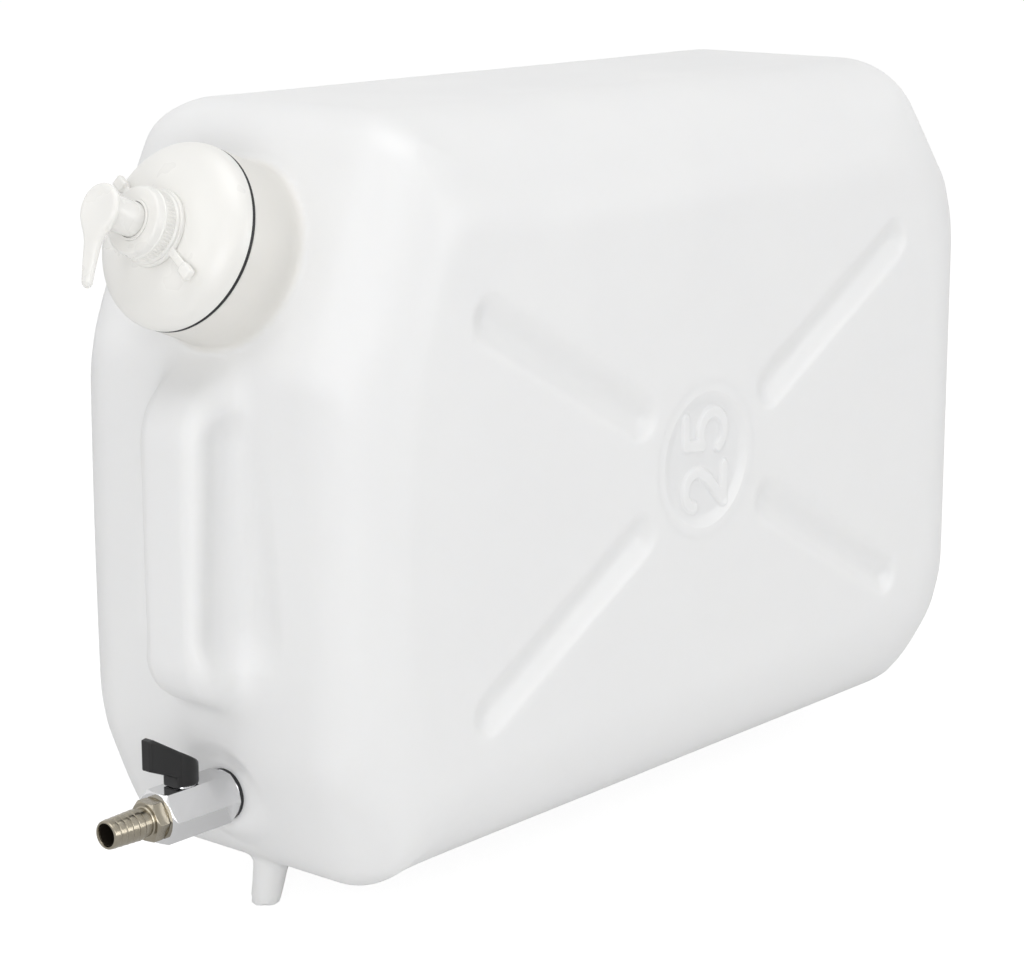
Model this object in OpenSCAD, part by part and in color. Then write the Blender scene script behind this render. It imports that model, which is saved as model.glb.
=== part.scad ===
// Flat water canister with a soap pump in its screw lid and a small ball valve with a hose barb.
// The frame: origin in the middle of the tank's flat underside, +Z up, +Y towards the tank's rear
// end, X across the thickness. The narrow front end (-Y) carries the handle, the lid and the valve.

/* [Tank] */
// Length of the tank from its front end to its rear end
tank_length = 490; // [440:5:600]
// Height of the tank, foot left out
tank_height = 340; // [320:5:420]
// Thickness of the tank between its two broad sides
tank_thickness = 184; // [168:2:240]
// Wall thickness of the blown tank
tank_wall = 2.5; // [1.5:0.1:3.5]
// Width of the round edges between the broad sides and the rim, seen from the broad side
edge_width = 56; // [40:1:64]
// Height of those round edges, measured across the thickness
edge_depth = 49; // [36:1:60]
// Radius of the tighter round edges along the front end
front_edge = 31; // [24:1:40]
// Lower front corner: how far it is cut back along the length
low_front_run = 23; // [16:1:34]
// Lower front corner: how high the cut reaches
low_front_rise = 61; // [50:1:70]
// Lower rear corner: cut along the length
low_rear_run = 48; // [40:1:70]
// Lower rear corner: height of the cut
low_rear_rise = 42; // [36:1:70]
// Upper rear corner: cut along the length
high_rear_run = 57; // [36:1:70]
// Upper rear corner: height of the cut
high_rear_rise = 68; // [50:1:90]
// Height of the slanted face that carries the neck
neck_slope_rise = 108; // [104:1:120]

/* [Broad sides] */
// Distance of the number disc's middle from the front end
disc_from_front = 240; // [220:1:250]
// Height of the number disc's middle
disc_height = 161; // [150:1:180]
// Radius of the number disc
disc_radius = 33.5; // [28:0.5:38]
// Depth of the number disc's recess
disc_depth = 1.8; // [1:0.1:3]
// Width of each stiffening groove
groove_width = 15.6; // [12:0.2:18]
// Depth of each stiffening groove
groove_depth = 4.2; // [2.5:0.1:5]
// Distance of a groove's inner end from the disc's middle
groove_start = 58; // [50:1:70]
// Distance of a groove's outer end from the disc's middle
groove_end = 180; // [150:1:182]
// Slope of the grooves
groove_angle = 30; // [26:1:32]

/* [Handle] */
// Width of the handle
handle_width = 41; // [36:1:46]
// How far the handle stands out from the front end
handle_out = 25; // [20:1:30]
// Height of the handle's lower root above the underside
handle_low = 84; // [80:1:92]
// Distance of the handle's upper root below the slanted face
handle_below = 0; // [0:1:14]
// Radius of the handle's front edges
handle_edge = 12; // [6:0.5:14]
// Radius of the finger scoops
scoop_radius = 13; // [11:0.5:14]
// Distance of each scoop's axis from the middle plane
scoop_side = 27; // [26:0.5:30]
// Distance of the scoops' lower end above the handle's lower root
scoop_above = 21; // [16:1:28]
// Distance of the scoops' upper end below the handle's upper root
scoop_below = 19; // [16:1:28]

/* [Neck] */
// Tilt of the neck's axis above the horizontal
neck_tilt = 21; // [18:0.5:24]
// Outer radius of the neck
neck_radius = 40.4; // [39:0.2:43]
// Radius of the neck's bore
neck_bore = 36; // [35:0.2:37]
// Length of the neck in front of the slanted face
neck_length = 28.5; // [22:0.5:32]
// Distance of the neck's axis from the slanted face's lower corner, along the slope
neck_along = 48.5; // [47:0.5:56]

/* [Foot] */
// Distance of the foot's root from the front end
foot_from_front = 38; // [36:1:44]
// Radius of the foot at its root
foot_root = 8.4; // [7:0.2:10]
// Radius of the foot at its tip
foot_tip = 6.2; // [5:0.2:7]
// Drop of the foot below the underside
foot_drop = 19; // [12:0.5:24]
// Forward lean of the foot
foot_lean = 14; // [0:1:18]

/* [Lid] */
// Outer radius of the lid
lid_radius = 40.6; // [39:0.2:43]
// Height of the lid's face above its gasket, at the middle
lid_height = 15; // [12:0.5:17]
// Height that the lid's dome rises inside its round edge
lid_dome = 2.6; // [1:0.2:4]
// Wall thickness of the lid
lid_wall = 2.4; // [1.8:0.1:3]
// Depth of the lid's threaded plug below the neck's rim
plug_depth = 17; // [12:0.5:22]
// Radial clearance of the plug in the neck
plug_gap = 0.35; // [0.2:0.05:0.5]
// Thickness of the lid's gasket
gasket_thick = 1.4; // [1:0.1:2]

/* [Soap bottle] */
// Outer radius of the soap bottle
bottle_radius = 29.5; // [24:0.5:31]
// Length of the bottle from its shoulder to its base
bottle_length = 118; // [104:1:130]
// Wall thickness of the bottle
bottle_wall = 1.2; // [0.9:0.1:1.6]
// Outer radius of the bottle's neck
bottle_neck = 13.2; // [12.8:0.1:13.6]
// Radius of the bottle's mouth
bottle_mouth = 10.9; // [10.8:0.1:11.2]

/* [Pump] */
// Radius of the closure's ribbed band
collar_radius = 15.4; // [15:0.1:16.5]
// Height of the closure
collar_height = 11.6; // [10.5:0.1:13]
// Count of ribs round the closure
collar_ribs = 60; // [36:4:72]
// Thickness of the wing ring
wing_thick = 2.2; // [1.6:0.1:3]
// Reach of each wing from the pump's axis
wing_reach = 33.5; // [26:0.5:35]
// Width of each wing
wing_width = 7; // [5:0.5:9]
// Thickness of the pad at the end of each wing
wing_pad = 3.4; // [2.2:0.1:4]
// Direction of the wings, turned down from the +X side
wing_turn = 33; // [0:1:90]
// Height of the head's top above the closure
head_height = 20.5; // [19:0.5:24]
// Radius of the head's finger pad
pad_radius = 10.5; // [9:0.5:12]
// Thickness of the finger pad
pad_thick = 4.2; // [3.5:0.1:5]
// Reach of the spout's tip from the pump's axis
spout_reach = 33.5; // [28:0.5:40]
// Drop of the spout's tip
spout_droop = 3.4; // [2:0.1:4]
// Outer radius of the head's skirt
skirt_radius = 7.5; // [7:0.1:7.6]
// Stroke of the pump
pump_stroke = 12; // [8:0.5:12.5]
// Bore radius of the pump's barrel
barrel_bore = 5.4; // [5:0.1:5.6]
// Radial clearance of the pump's sliding fits
pump_gap = 0.08; // [0.03:0.01:0.1]
// Outer radius of the dip tube
tube_radius = 3; // [2.5:0.1:3.2]
// Radius of the check ball
check_radius = 2.6; // [2.3:0.1:2.8]
// Wire radius of the pump's spring
spring_wire = 0.45; // [0.35:0.05:0.55]
// Turns of the pump's spring
spring_turns = 7; // [5:1:9]

/* [Valve] */
// Height of the valve's axis above the underside
tap_height = 39; // [38:0.5:44]
// Distance of the valve's seat face behind the front end
tap_seat = 7.5; // [6.5:0.5:9]
// Width across the flats of the valve body
body_flats = 22.5; // [22:0.5:26]
// Length of the valve body in front of its washer
body_length = 40.4; // [39:0.2:44]
// Radius of the threaded tail
tail_radius = 10.4; // [10:0.1:10.5]
// Length of the tail behind the seat face
tail_length = 17; // [15:0.5:24]
// Radius of the waterway
waterway = 5; // [4:0.1:5.2]
// Radius of the valve's ball
ball_radius = 7.9; // [7.4:0.1:8.1]
// Distance of the ball's middle in front of the seat face
ball_out = 25.5; // [24.5:0.5:26]
// Width across the flats of the barb's nut
nut_flats = 17; // [16:0.5:20]
// Thickness of the barb's nut
nut_thick = 6.5; // [5:0.5:8]
// Length of the barb in front of its nut
barb_length = 22; // [18:0.5:30]
// Outer radius of the barb at its nut
barb_root = 7.1; // [6.8:0.1:7.6]
// Outer radius of the barb at its end
barb_tip = 6.5; // [6.2:0.1:6.8]
// Count of ridges on the barb
barb_ridges = 5; // [3:1:7]

/* [Lever] */
// Radius of the lever's hub
hub_radius = 7.2; // [7:0.1:9]
// Reach of the lever's blade from its axis
lever_reach = 21; // [18:0.5:30]
// Thickness of the lever's blade
blade_thick = 6; // [4.5:0.5:8]
// Height of the lever's top at the back of its hub, above the valve body
lever_back = 9.4; // [8.5:0.1:12]
// Height of the lever's top at the blade's end, above the valve body
lever_front = 25; // [20:0.5:28]

/* [Hidden] */
$fa = 6;
$fs = 0.6;
slab = 0.02;

// The tank's outline in the plane of its length and height, and the roundings along its edges.
front = -tank_length / 2;
rear = tank_length / 2;
half_thick = tank_thickness / 2;
slope_run = neck_slope_rise * tan(neck_tilt);
outline = [
    [front + low_front_run, 0],
    [rear - low_rear_run, 0],
    [rear, low_rear_rise],
    [rear, tank_height - high_rear_rise],
    [rear - high_rear_run, tank_height],
    [front + slope_run, tank_height],
    [front, tank_height - neck_slope_rise],
    [front, low_front_rise]
];
corner_radii = [24, 45, 29, 36, 42, 26, 40, 45];
slanted_edge = front_edge + 4;
edge_widths = [edge_width, edge_width, edge_width, edge_width, edge_width,
    slanted_edge, front_edge, slanted_edge];
edge_depths = [edge_depth, edge_depth, edge_depth, edge_depth, edge_depth,
    slanted_edge, front_edge, slanted_edge];
level_angles = [0, 15, 30, 45, 60, 75, 90];
least_corner = 3;
arc_steps = 4;

// The stiffening grooves are cut by round bars whose axis lies outside the broad side.
groove_bar = (pow(groove_width / 2, 2) + pow(groove_depth, 2)) / (2 * groove_depth);
groove_axis = half_thick + groove_bar - groove_depth;
disc_y = front + disc_from_front;

// The handle: its ends ramp up along arcs as tall as the ramp is long.
handle_face = front - handle_out;
handle_high = tank_height - neck_slope_rise - handle_below;
scoop_low = handle_low + scoop_above;
scoop_high = handle_high - scoop_below;
high_ramp = 1.3 * handle_out;
low_ramp = 0.9 * handle_out;
scoop_y = front - 0.34 * handle_out;

// The neck's rim, which the lid's gasket seals on.
slope_foot = [front, tank_height - neck_slope_rise];
neck_root = [slope_foot[0] + neck_along * sin(neck_tilt), slope_foot[1] + neck_along * cos(neck_tilt)];
rim = [neck_root[0] - neck_length * cos(neck_tilt), neck_root[1] + neck_length * sin(neck_tilt)];
neck_reach_in = 16;

// Heights along the lid's axis, counted from the neck's rim.
lid_low = gasket_thick;
lid_top = lid_low + lid_height;
lid_edge = lid_height - lid_dome - 1.4;
flat_radius = lid_radius - lid_edge;
plug_radius = neck_bore - plug_gap;
plug_inner = plug_radius - lid_wall;
lid_under = lid_top - lid_wall;
bottle_hole = bottle_neck + 0.5;
boss_flat = collar_radius + 2.2;
wing_top = lid_top + wing_thick;
collar_top = wing_top + collar_height;
collar_roof = 1.8;
flange_thick = 1.2;
seal_thick = 0.8;
flange_top = collar_top - collar_roof;
flange_low = flange_top - flange_thick;
mouth_top = flange_low - seal_thick;
shoulder_top = lid_under - 1;
bottle_base = shoulder_top - bottle_length;
collar_bore = bottle_neck + 0.35;
guide_radius = skirt_radius + 1.5;
guide_bore = skirt_radius + 0.3;
guide_top = collar_top + 0.6;
upper_bore = guide_radius + pump_gap;
upper_wall = 1;
step_height = collar_top - 20;
head_top = collar_top + head_height;
pad_low = head_top - pad_thick;
skirt_low = collar_top - 2.6;
guide_floor = step_height + 1.4;
stem_radius = 2.9;
stem_bore = 1.4;
stem_top = pad_low - 1.6;
piston_top = step_height - 9;
piston_length = 7;
stem_low = piston_top - piston_length;
spring_length = 27;
shelf = stem_low - spring_length;
cage_depth = 6;
cage_radius = check_radius + 0.6;
seat_radius = check_radius * 0.72;
barrel_wall = 1.2;
socket_top = shelf - cage_depth - 1.4;
socket_depth = 14;
tube_low = bottle_base + 6;
check_gap = 0.05;
check_mid = shelf - cage_depth + sqrt(pow(check_radius, 2) - pow(seat_radius, 2)) + check_gap;
channel_radius = 1.5;
press_gap = 0.05;
tip_radius = 3.4;
stem_grip = 12;
spout_bend = 0.62 * spout_reach;
bend_radius = tip_radius + 0.9;
wing_arm = 0.72 * wing_width;

// Heights along the valve's axis, counted from its seat face on the tank.
seat_y = front + tap_seat;
washer_thick = 1.6;
pad_boss = tail_radius + 6.8;
pad_wall = 4;
body_low = washer_thick;
body_high = body_low + body_length;
hex_radius = body_flats / sqrt(3);
neck_round = body_flats / 2;
ball_y = seat_y - ball_out;
insert_radius = ball_radius + 1.3;
seat_thick = 3;
insert_low = ball_out + ball_radius - 1 + 0.6;
chamber_low = ball_out - ball_radius + 1 - 0.6;
cavity_radius = ball_radius + 0.35;
thread_radius = waterway + 1.7;
barb_tail = body_high - insert_low - 1.5;
nut_high = body_high + nut_thick;
barb_high = nut_high + barb_length;
stem_shaft = 3.4;
stem_head = 4.6;
stem_boss = 6;
lever_gap = 0.3;
hub_socket = stem_boss + 0.4;
boss_rise = 1.8;
body_top = tap_height + body_flats / 2;
boss_top = body_top + boss_rise;
lever_low = body_top + lever_gap;
screw_seat = body_top + lever_back - 1.4;
screw_head = 3.4;
screw_shank = 1.5;
slot_width = 2.6;
slot_low = ball_radius - 2.2;
nut_inner = pad_wall + washer_thick;
lock_thick = 6;
lock_radius = pad_boss - 3.6;

// Inset of outline edge i at a distance x from the middle plane, for a skin lying gap inside.
function inset(i, x, gap) =
    let (along = max(0, (x - half_thick + edge_depths[i]) / (edge_depths[i] - gap)))
    gap + (edge_widths[i] - gap) * (1 - sqrt(max(0, 1 - pow(along, 2))));

// Outward normal of outline edge i.
function edge_normal(i) =
    let (step = outline[(i + 1) % 8] - outline[i % 8])
    [step[1], -step[0]] / norm(step);

// The shift that moves a corner in by a from its first edge and by b from its second edge.
function corner_shift(n1, n2, a, b) =
    let (det = n1[0] * n2[1] - n1[1] * n2[0])
    [(a * n2[1] - b * n1[1]) / det, (b * n1[0] - a * n2[0]) / det];

// The arc that rounds corner i of the inset outline.
function corner_arc(i, x, gap) =
    let (n1 = edge_normal((i + 7) % 8))
    let (n2 = edge_normal(i))
    let (a = inset((i + 7) % 8, x, gap))
    let (b = inset(i, x, gap))
    let (r = max(least_corner, corner_radii[i] - (a + b) / 2))
    let (middle = outline[i] - corner_shift(n1, n2, a + r, b + r))
    let (start = atan2(n1[1], n1[0]))
    let (turn = (atan2(n2[1], n2[0]) - start + 360) % 360)
    [for (k = [0 : arc_steps]) middle + r * [cos(start + turn * k / arc_steps),
        sin(start + turn * k / arc_steps)]];

// One thin slice of the tank, upright at a distance x from the middle plane.
module slice(x, side, gap) {
    translate([side * x - (side > 0 ? slab : 0), 0, 0])
        rotate([90, 0, 90])
            linear_extrude(slab)
                polygon([for (i = [0 : 7]) each corner_arc(i, x, gap)]);
}

// The tank's body without its features, its skin lying gap inside the outer surface.
module tank_form(gap) {
    hull()
        for (side = [-1, 1])
            for (angle = level_angles)
                slice(half_thick - gap - (edge_depth - gap) * (1 - sin(angle)), side, gap);
}

// A round-ended bar between two points, made of a cylinder and two balls.
module bar(from, to, radius) {
    reach = to - from;
    length = norm(reach);
    translate(from)
        rotate([0, acos(reach[2] / length), atan2(reach[1], reach[0])])
            cylinder(h = length, r = radius);
    translate(from)
        sphere(r = radius);
    translate(to)
        sphere(r = radius);
}

// The four grooves of one broad side, as bars of a given radius.
module groove_bars(side, radius) {
    for (angle = [groove_angle, 180 - groove_angle, 180 + groove_angle, -groove_angle])
        bar([side * groove_axis, disc_y + groove_start * cos(angle), disc_height + groove_start * sin(angle)],
            [side * groove_axis, disc_y + groove_end * cos(angle), disc_height + groove_end * sin(angle)],
            radius);
}

// The recess of the number disc, deeper and wider by a margin.
module number_disc(side, margin) {
    translate([side * (half_thick - disc_depth - margin), disc_y, disc_height])
        rotate([0, side * 90, 0])
            cylinder(h = disc_depth + margin + 10, r = disc_radius + margin);
}

// Finger scoops on both flanks of the handle.
module scoops(margin) {
    for (side = [-1, 1])
        bar([side * scoop_side, scoop_y, scoop_low + scoop_radius],
            [side * scoop_side, scoop_y, scoop_high - scoop_radius], scoop_radius + margin);
}

// Side view of the handle: a bar with a rounded ramp at each end, its skin lying gap inside.
module handle_side(gap) {
    high = handle_high - gap;
    low = handle_low + gap;
    depth = handle_out - gap;
    translate([front, 0]) {
        translate([-depth, low + low_ramp])
            square([depth + 12, high - high_ramp - low - low_ramp]);
        intersection() {
            translate([0, high - high_ramp])
                handle_lobe(depth, high_ramp);
            translate([-depth - 1, high - high_ramp])
                square([depth + 13, high_ramp + 1]);
        }
        intersection() {
            translate([0, low + low_ramp])
                handle_lobe(depth, low_ramp);
            translate([-depth - 1, low - 1])
                square([depth + 13, low_ramp + 1]);
        }
    }
}

// The round lobe that ends the handle: it reaches out to depth and rises by ramp at its root.
module handle_lobe(depth, ramp) {
    lobe = (pow(depth, 2) + pow(ramp, 2)) / (2 * depth);
    intersection() {
        translate([lobe - depth, 0])
            circle(r = lobe);
        translate([-depth, -ramp])
            square([depth + 12, 2 * ramp]);
    }
}

// Plan view of the handle with round front edges, its skin lying gap inside.
module handle_plan(gap) {
    half = handle_width / 2 - gap;
    face = handle_face + gap;
    round_edge = handle_edge - gap;
    translate([-half, face + round_edge])
        square([2 * half, handle_out + 12]);
    translate([-half + round_edge, face])
        square([2 * (half - round_edge), handle_out + 12]);
    for (side = [-1, 1])
        translate([side * (half - round_edge), face + round_edge])
            circle(r = round_edge);
}

// The handle's block, the same along both views.
module handle_block(gap) {
    intersection() {
        translate([-handle_width, 0, 0])
            rotate([90, 0, 90])
                linear_extrude(2 * handle_width)
                    handle_side(gap);
        linear_extrude(tank_height)
            handle_plan(gap);
    }
}

// Places its children on the lid's axis, with z counted outward from the neck's rim.
module on_lid_axis() {
    translate([0, rim[0], rim[1]])
        rotate([90 - neck_tilt, 0, 0])
            children();
}

// Places its children on the valve's axis, with z counted outward from the seat face.
module on_valve_axis() {
    translate([0, seat_y, tap_height])
        rotate([90, 0, 0])
            children();
}

// Places its children on the lever's upright axis.
module on_lever_axis() {
    translate([0, ball_y, 0])
        children();
}

// A tube between two heights.
module tube(low, high, outer, inner) {
    translate([0, 0, low])
        difference() {
            cylinder(h = high - low, r = outer);
            translate([0, 0, -1])
                cylinder(h = high - low + 2, r = inner);
        }
}

// A hexagonal prism, its flats facing up and down.
module hex(low, high, flats) {
    translate([0, 0, low])
        cylinder(h = high - low, r = flats / sqrt(3), $fn = 6);
}

// The tapered foot under the front of the tank, cut level at its tip.
module foot() {
    intersection() {
        translate([0, front + foot_from_front, 4])
            rotate([-foot_lean, 0, 0])
                translate([0, 0, -foot_drop - 8])
                    cylinder(h = foot_drop + 14, r1 = foot_tip, r2 = foot_root);
        translate([-50, front - 50, -foot_drop])
            cube([100, 150, foot_drop + 8]);
    }
}

// Everything of the tank that is plastic on the outside.
module tank_outside() {
    difference() {
        union() {
            tank_form(0);
            handle_block(0);
        }
        scoops(0);
        for (side = [-1, 1]) {
            groove_bars(side, groove_bar);
            number_disc(side, 0);
        }
        on_valve_axis()
            cylinder(h = 40, r = pad_boss);
    }
    on_lid_axis()
        translate([0, 0, -neck_length - neck_reach_in])
            cylinder(h = neck_length + neck_reach_in, r = neck_radius);
    on_valve_axis()
        translate([0, 0, -14])
            cylinder(h = 14, r = pad_boss);
    foot();
}

// The hollow inside the tank.
module tank_hollow() {
    difference() {
        union() {
            tank_form(tank_wall);
            handle_block(tank_wall);
        }
        scoops(tank_wall);
        for (side = [-1, 1]) {
            groove_bars(side, groove_bar + tank_wall);
            number_disc(side, tank_wall);
        }
        on_valve_axis()
            translate([0, 0, -pad_wall])
                cylinder(h = 60, r = pad_boss + tank_wall);
    }
    on_lid_axis()
        translate([0, 0, -neck_length - neck_reach_in - 1])
            cylinder(h = neck_length + neck_reach_in + 2, r = neck_bore);
    on_valve_axis()
        translate([0, 0, -pad_wall - 26])
            cylinder(h = 26, r = pad_boss - tank_wall);
}

module tank() {
    color([0.93, 0.94, 0.92])
        difference() {
            tank_outside();
            tank_hollow();
            on_valve_axis()
                translate([0, 0, -20])
                    cylinder(h = 40, r = tail_radius + 0.1);
        }
}

// Half section of the lid: a shallow dome with a deep round edge over a threaded plug.
module lid_section() {
    difference() {
        union() {
            translate([0, lid_low])
                square([flat_radius, lid_height - lid_dome]);
            translate([flat_radius, lid_low + 1.4])
                intersection() {
                    circle(r = lid_edge);
                    square(lid_edge);
                }
            translate([0, lid_low])
                square([lid_radius, 1.4]);
            polygon([
                [0, lid_low],
                [flat_radius, lid_low],
                [flat_radius, lid_top - lid_dome],
                [flat_radius - 4, lid_top - lid_dome + 0.4],
                [boss_flat + 3, lid_top - 0.3],
                [boss_flat, lid_top],
                [0, lid_top]
            ]);
            translate([plug_inner, -plug_depth])
                square([lid_wall, plug_depth + lid_low + 4]);
        }
        polygon([
            [0, -1],
            [plug_inner, -1],
            [plug_inner, lid_low + 4],
            [flat_radius - 2, lid_under - lid_dome - 0.4],
            [boss_flat, lid_under],
            [0, lid_under]
        ]);
        square([bottle_hole, lid_top + 2]);
    }
}

module lid() {
    color([0.96, 0.96, 0.94])
        on_lid_axis()
            rotate_extrude()
                lid_section();
}

module lid_gasket() {
    color([0.08, 0.08, 0.08])
        on_lid_axis()
            tube(0, lid_low, lid_radius - 0.2, plug_radius + 0.6);
}

module wing_ring() {
    color([0.95, 0.95, 0.93])
        on_lid_axis()
            difference() {
                union() {
                    translate([0, 0, lid_top])
                        cylinder(h = wing_thick, r = collar_radius + 1.4);
                    rotate([0, 0, -wing_turn])
                        translate([-wing_reach + wing_width / 2, -wing_arm / 2, lid_top])
                            cube([2 * wing_reach - wing_width, wing_arm, wing_thick]);
                    rotate([0, 0, -wing_turn])
                        for (side = [-1, 1])
                            translate([side * (wing_reach - wing_width / 2), 0, lid_top])
                                cylinder(h = wing_pad, r = wing_width / 2);
                }
                translate([0, 0, lid_top - 1])
                    cylinder(h = wing_thick + 2, r = bottle_hole);
            }
}

// Outline of the bottle from its base to its mouth, its skin lying gap inside.
module bottle_section(gap) {
    base_round = 6;
    shoulder = 12;
    body = bottle_radius - gap;
    translate([0, bottle_base + gap])
        square([body - base_round, base_round]);
    translate([body - base_round, bottle_base + gap + base_round])
        circle(r = base_round);
    translate([0, bottle_base + gap + base_round])
        square([body, bottle_length - base_round - shoulder - 2 * gap]);
    translate([0, shoulder_top - shoulder - gap])
        intersection() {
            square([body, shoulder]);
            union() {
                translate([body - shoulder, 0])
                    circle(r = shoulder);
                square([body - shoulder, shoulder]);
            }
        }
}

module soap_bottle() {
    color([0.9, 0.92, 0.92])
        on_lid_axis()
            rotate_extrude()
                difference() {
                    union() {
                        intersection() {
                            bottle_section(0);
                            translate([0, bottle_base])
                                square([bottle_radius, bottle_length]);
                        }
                        translate([0, shoulder_top - 2])
                            square([bottle_neck, mouth_top - shoulder_top + 2]);
                    }
                    intersection() {
                        bottle_section(bottle_wall);
                        translate([0, bottle_base])
                            square([bottle_radius, bottle_length]);
                    }
                    translate([0, shoulder_top - 4])
                        square([bottle_mouth, mouth_top - shoulder_top + 5]);
                }
}

module pump_collar() {
    rib_low = wing_top + 1.6;
    rib_high = collar_top - 2.6;
    color([0.96, 0.96, 0.94])
        on_lid_axis()
            difference() {
                union() {
                    translate([0, 0, wing_top])
                        cylinder(h = 1.6, r = collar_radius + 0.6);
                    translate([0, 0, rib_low])
                        cylinder(h = rib_high - rib_low, r = collar_radius - 0.3);
                    translate([0, 0, rib_high])
                        cylinder(h = 1.6, r = collar_radius);
                    translate([0, 0, rib_high + 1.6])
                        cylinder(h = collar_top - rib_high - 1.6, r1 = collar_radius, r2 = collar_radius - 0.8);
                    for (k = [1 : collar_ribs])
                        rotate([0, 0, 360 * k / collar_ribs])
                            translate([collar_radius - 1, -0.25, rib_low - 0.5])
                                cube([0.9, 0.5, rib_high - rib_low + 1]);
                }
                translate([0, 0, wing_top - 1])
                    cylinder(h = flange_top - wing_top + 1, r = collar_bore);
                translate([0, 0, wing_top])
                    cylinder(h = collar_height + 1, r = guide_radius + 0.3);
            }
}

module pump_gasket() {
    color([0.75, 0.75, 0.75])
        on_lid_axis()
            tube(mouth_top, flange_low, bottle_neck - 0.2, upper_bore + upper_wall + 0.1);
}

// Half section of the pump's chamber: flange, wide upper part, barrel, ball cage and tube socket.
module chamber_section() {
    difference() {
        union() {
            translate([0, flange_low])
                square([bottle_neck, flange_thick]);
            translate([0, step_height - 1.2])
                square([upper_bore + upper_wall, flange_low - step_height + 1.3]);
            translate([0, shelf - 1.2])
                square([barrel_bore + barrel_wall, step_height - shelf + 1.2]);
            translate([0, socket_top])
                square([cage_radius + barrel_wall, shelf - socket_top]);
            translate([0, socket_top - socket_depth])
                square([tube_radius + barrel_wall + 0.4, socket_depth + 1.4]);
        }
        translate([0, step_height])
            square([upper_bore, flange_top - step_height + 1]);
        translate([0, shelf])
            square([barrel_bore, step_height - shelf + 1]);
        translate([0, shelf - cage_depth])
            square([cage_radius, cage_depth + 1]);
        translate([0, socket_top - 1])
            square([seat_radius, cage_depth]);
        translate([0, socket_top - socket_depth - 1])
            square([tube_radius + pump_gap, socket_depth + 1]);
    }
}

module pump_chamber() {
    color([0.9, 0.91, 0.9])
        on_lid_axis()
            rotate_extrude()
                chamber_section();
}

module pump_guide() {
    color([0.94, 0.94, 0.92])
        on_lid_axis()
            difference() {
                translate([0, 0, step_height])
                    cylinder(h = guide_top - step_height, r = guide_radius);
                translate([0, 0, guide_floor])
                    cylinder(h = guide_top - guide_floor + 1, r = guide_bore);
                translate([0, 0, step_height - 1])
                    cylinder(h = 4, r = stem_radius + pump_gap);
            }
}

// The head: finger pad and drooping spout in one piece with its skirt and the stem's socket.
module pump_head() {
    color([0.97, 0.97, 0.96])
        on_lid_axis()
            difference() {
                union() {
                    hull() {
                        translate([0, 0, pad_low])
                            cylinder(h = pad_thick - 1, r = pad_radius, $fn = 48);
                        translate([0, 0, head_top - 1])
                            cylinder(h = 1, r = pad_radius - 1.2, $fn = 48);
                        translate([0, -spout_bend, pad_low])
                            cylinder(h = pad_thick - 0.6, r = bend_radius, $fn = 32);
                    }
                    hull() {
                        translate([0, -spout_bend, pad_low])
                            cylinder(h = pad_thick - 0.6, r = bend_radius, $fn = 32);
                        translate([0, -spout_reach + tip_radius, pad_low - spout_droop])
                            cylinder(h = pad_thick - 0.4, r = tip_radius, $fn = 32);
                    }
                    tube(skirt_low, pad_low, skirt_radius, skirt_radius - 1.1);
                    tube(skirt_low + 7, pad_low, stem_radius + 1.4, stem_radius + press_gap);
                }
                translate([0, 0, stem_top - stem_grip])
                    cylinder(h = stem_grip, r = stem_radius + press_gap);
                translate([0, 0, stem_top - 1])
                    cylinder(h = 2.6 + channel_radius, r = channel_radius);
                translate([0, 0, pad_low + 1.5])
                    rotate([90 + atan(spout_droop / spout_reach), 0, 0])
                        cylinder(h = spout_reach + 4, r = channel_radius);
            }
}

module pump_stem() {
    color([0.92, 0.92, 0.92])
        on_lid_axis()
            tube(stem_low, stem_top, stem_radius, stem_bore);
}

module pump_piston() {
    color([0.85, 0.87, 0.88])
        on_lid_axis()
            rotate_extrude()
                difference() {
                    polygon([
                        [stem_radius + pump_gap, stem_low],
                        [barrel_bore - pump_gap, stem_low],
                        [barrel_bore - pump_gap, stem_low + 1.2],
                        [barrel_bore - 0.8, stem_low + 2],
                        [barrel_bore - 0.8, piston_top - 2],
                        [barrel_bore - pump_gap, piston_top - 1.2],
                        [barrel_bore - pump_gap, piston_top],
                        [stem_radius + pump_gap, piston_top]
                    ]);
                    translate([stem_radius + 0.8, piston_top - 0.8])
                        square([0.9, 1]);
                }
}

// The spring's helix, swept as a tube with a ring every few degrees.
spring_radius = (stem_radius + barrel_bore) / 2 - 0.05;
spring_sides = 8;
spring_rings = spring_turns * 14;
function spring_ring(k) =
    let (angle = 360 * spring_turns * k / spring_rings)
    let (height = shelf + spring_wire + 0.1 + (spring_length - 2 * spring_wire - 0.2) * k / spring_rings)
    [for (j = [0 : spring_sides - 1])
        let (reach = spring_radius + spring_wire * cos(360 * j / spring_sides))
        [reach * cos(angle), reach * sin(angle), height + spring_wire * sin(360 * j / spring_sides)]];

module pump_spring() {
    color([0.75, 0.76, 0.78])
        on_lid_axis()
            polyhedron(
                points = [for (k = [0 : spring_rings]) each spring_ring(k)],
                faces = concat(
                    [[for (j = [0 : spring_sides - 1]) j]],
                    [[for (j = [spring_sides - 1 : -1 : 0]) spring_rings * spring_sides + j]],
                    [for (k = [0 : spring_rings - 1]) for (j = [0 : spring_sides - 1])
                        [k * spring_sides + j,
                         (k + 1) * spring_sides + j,
                         (k + 1) * spring_sides + (j + 1) % spring_sides,
                         k * spring_sides + (j + 1) % spring_sides]]
                ));
}

module check_ball() {
    color([0.8, 0.81, 0.83])
        on_lid_axis()
            translate([0, 0, check_mid])
                sphere(r = check_radius);
}

module dip_tube() {
    color([0.93, 0.94, 0.94])
        on_lid_axis()
            tube(tube_low, socket_top - 0.2, tube_radius, tube_radius - 0.9);
}

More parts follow.
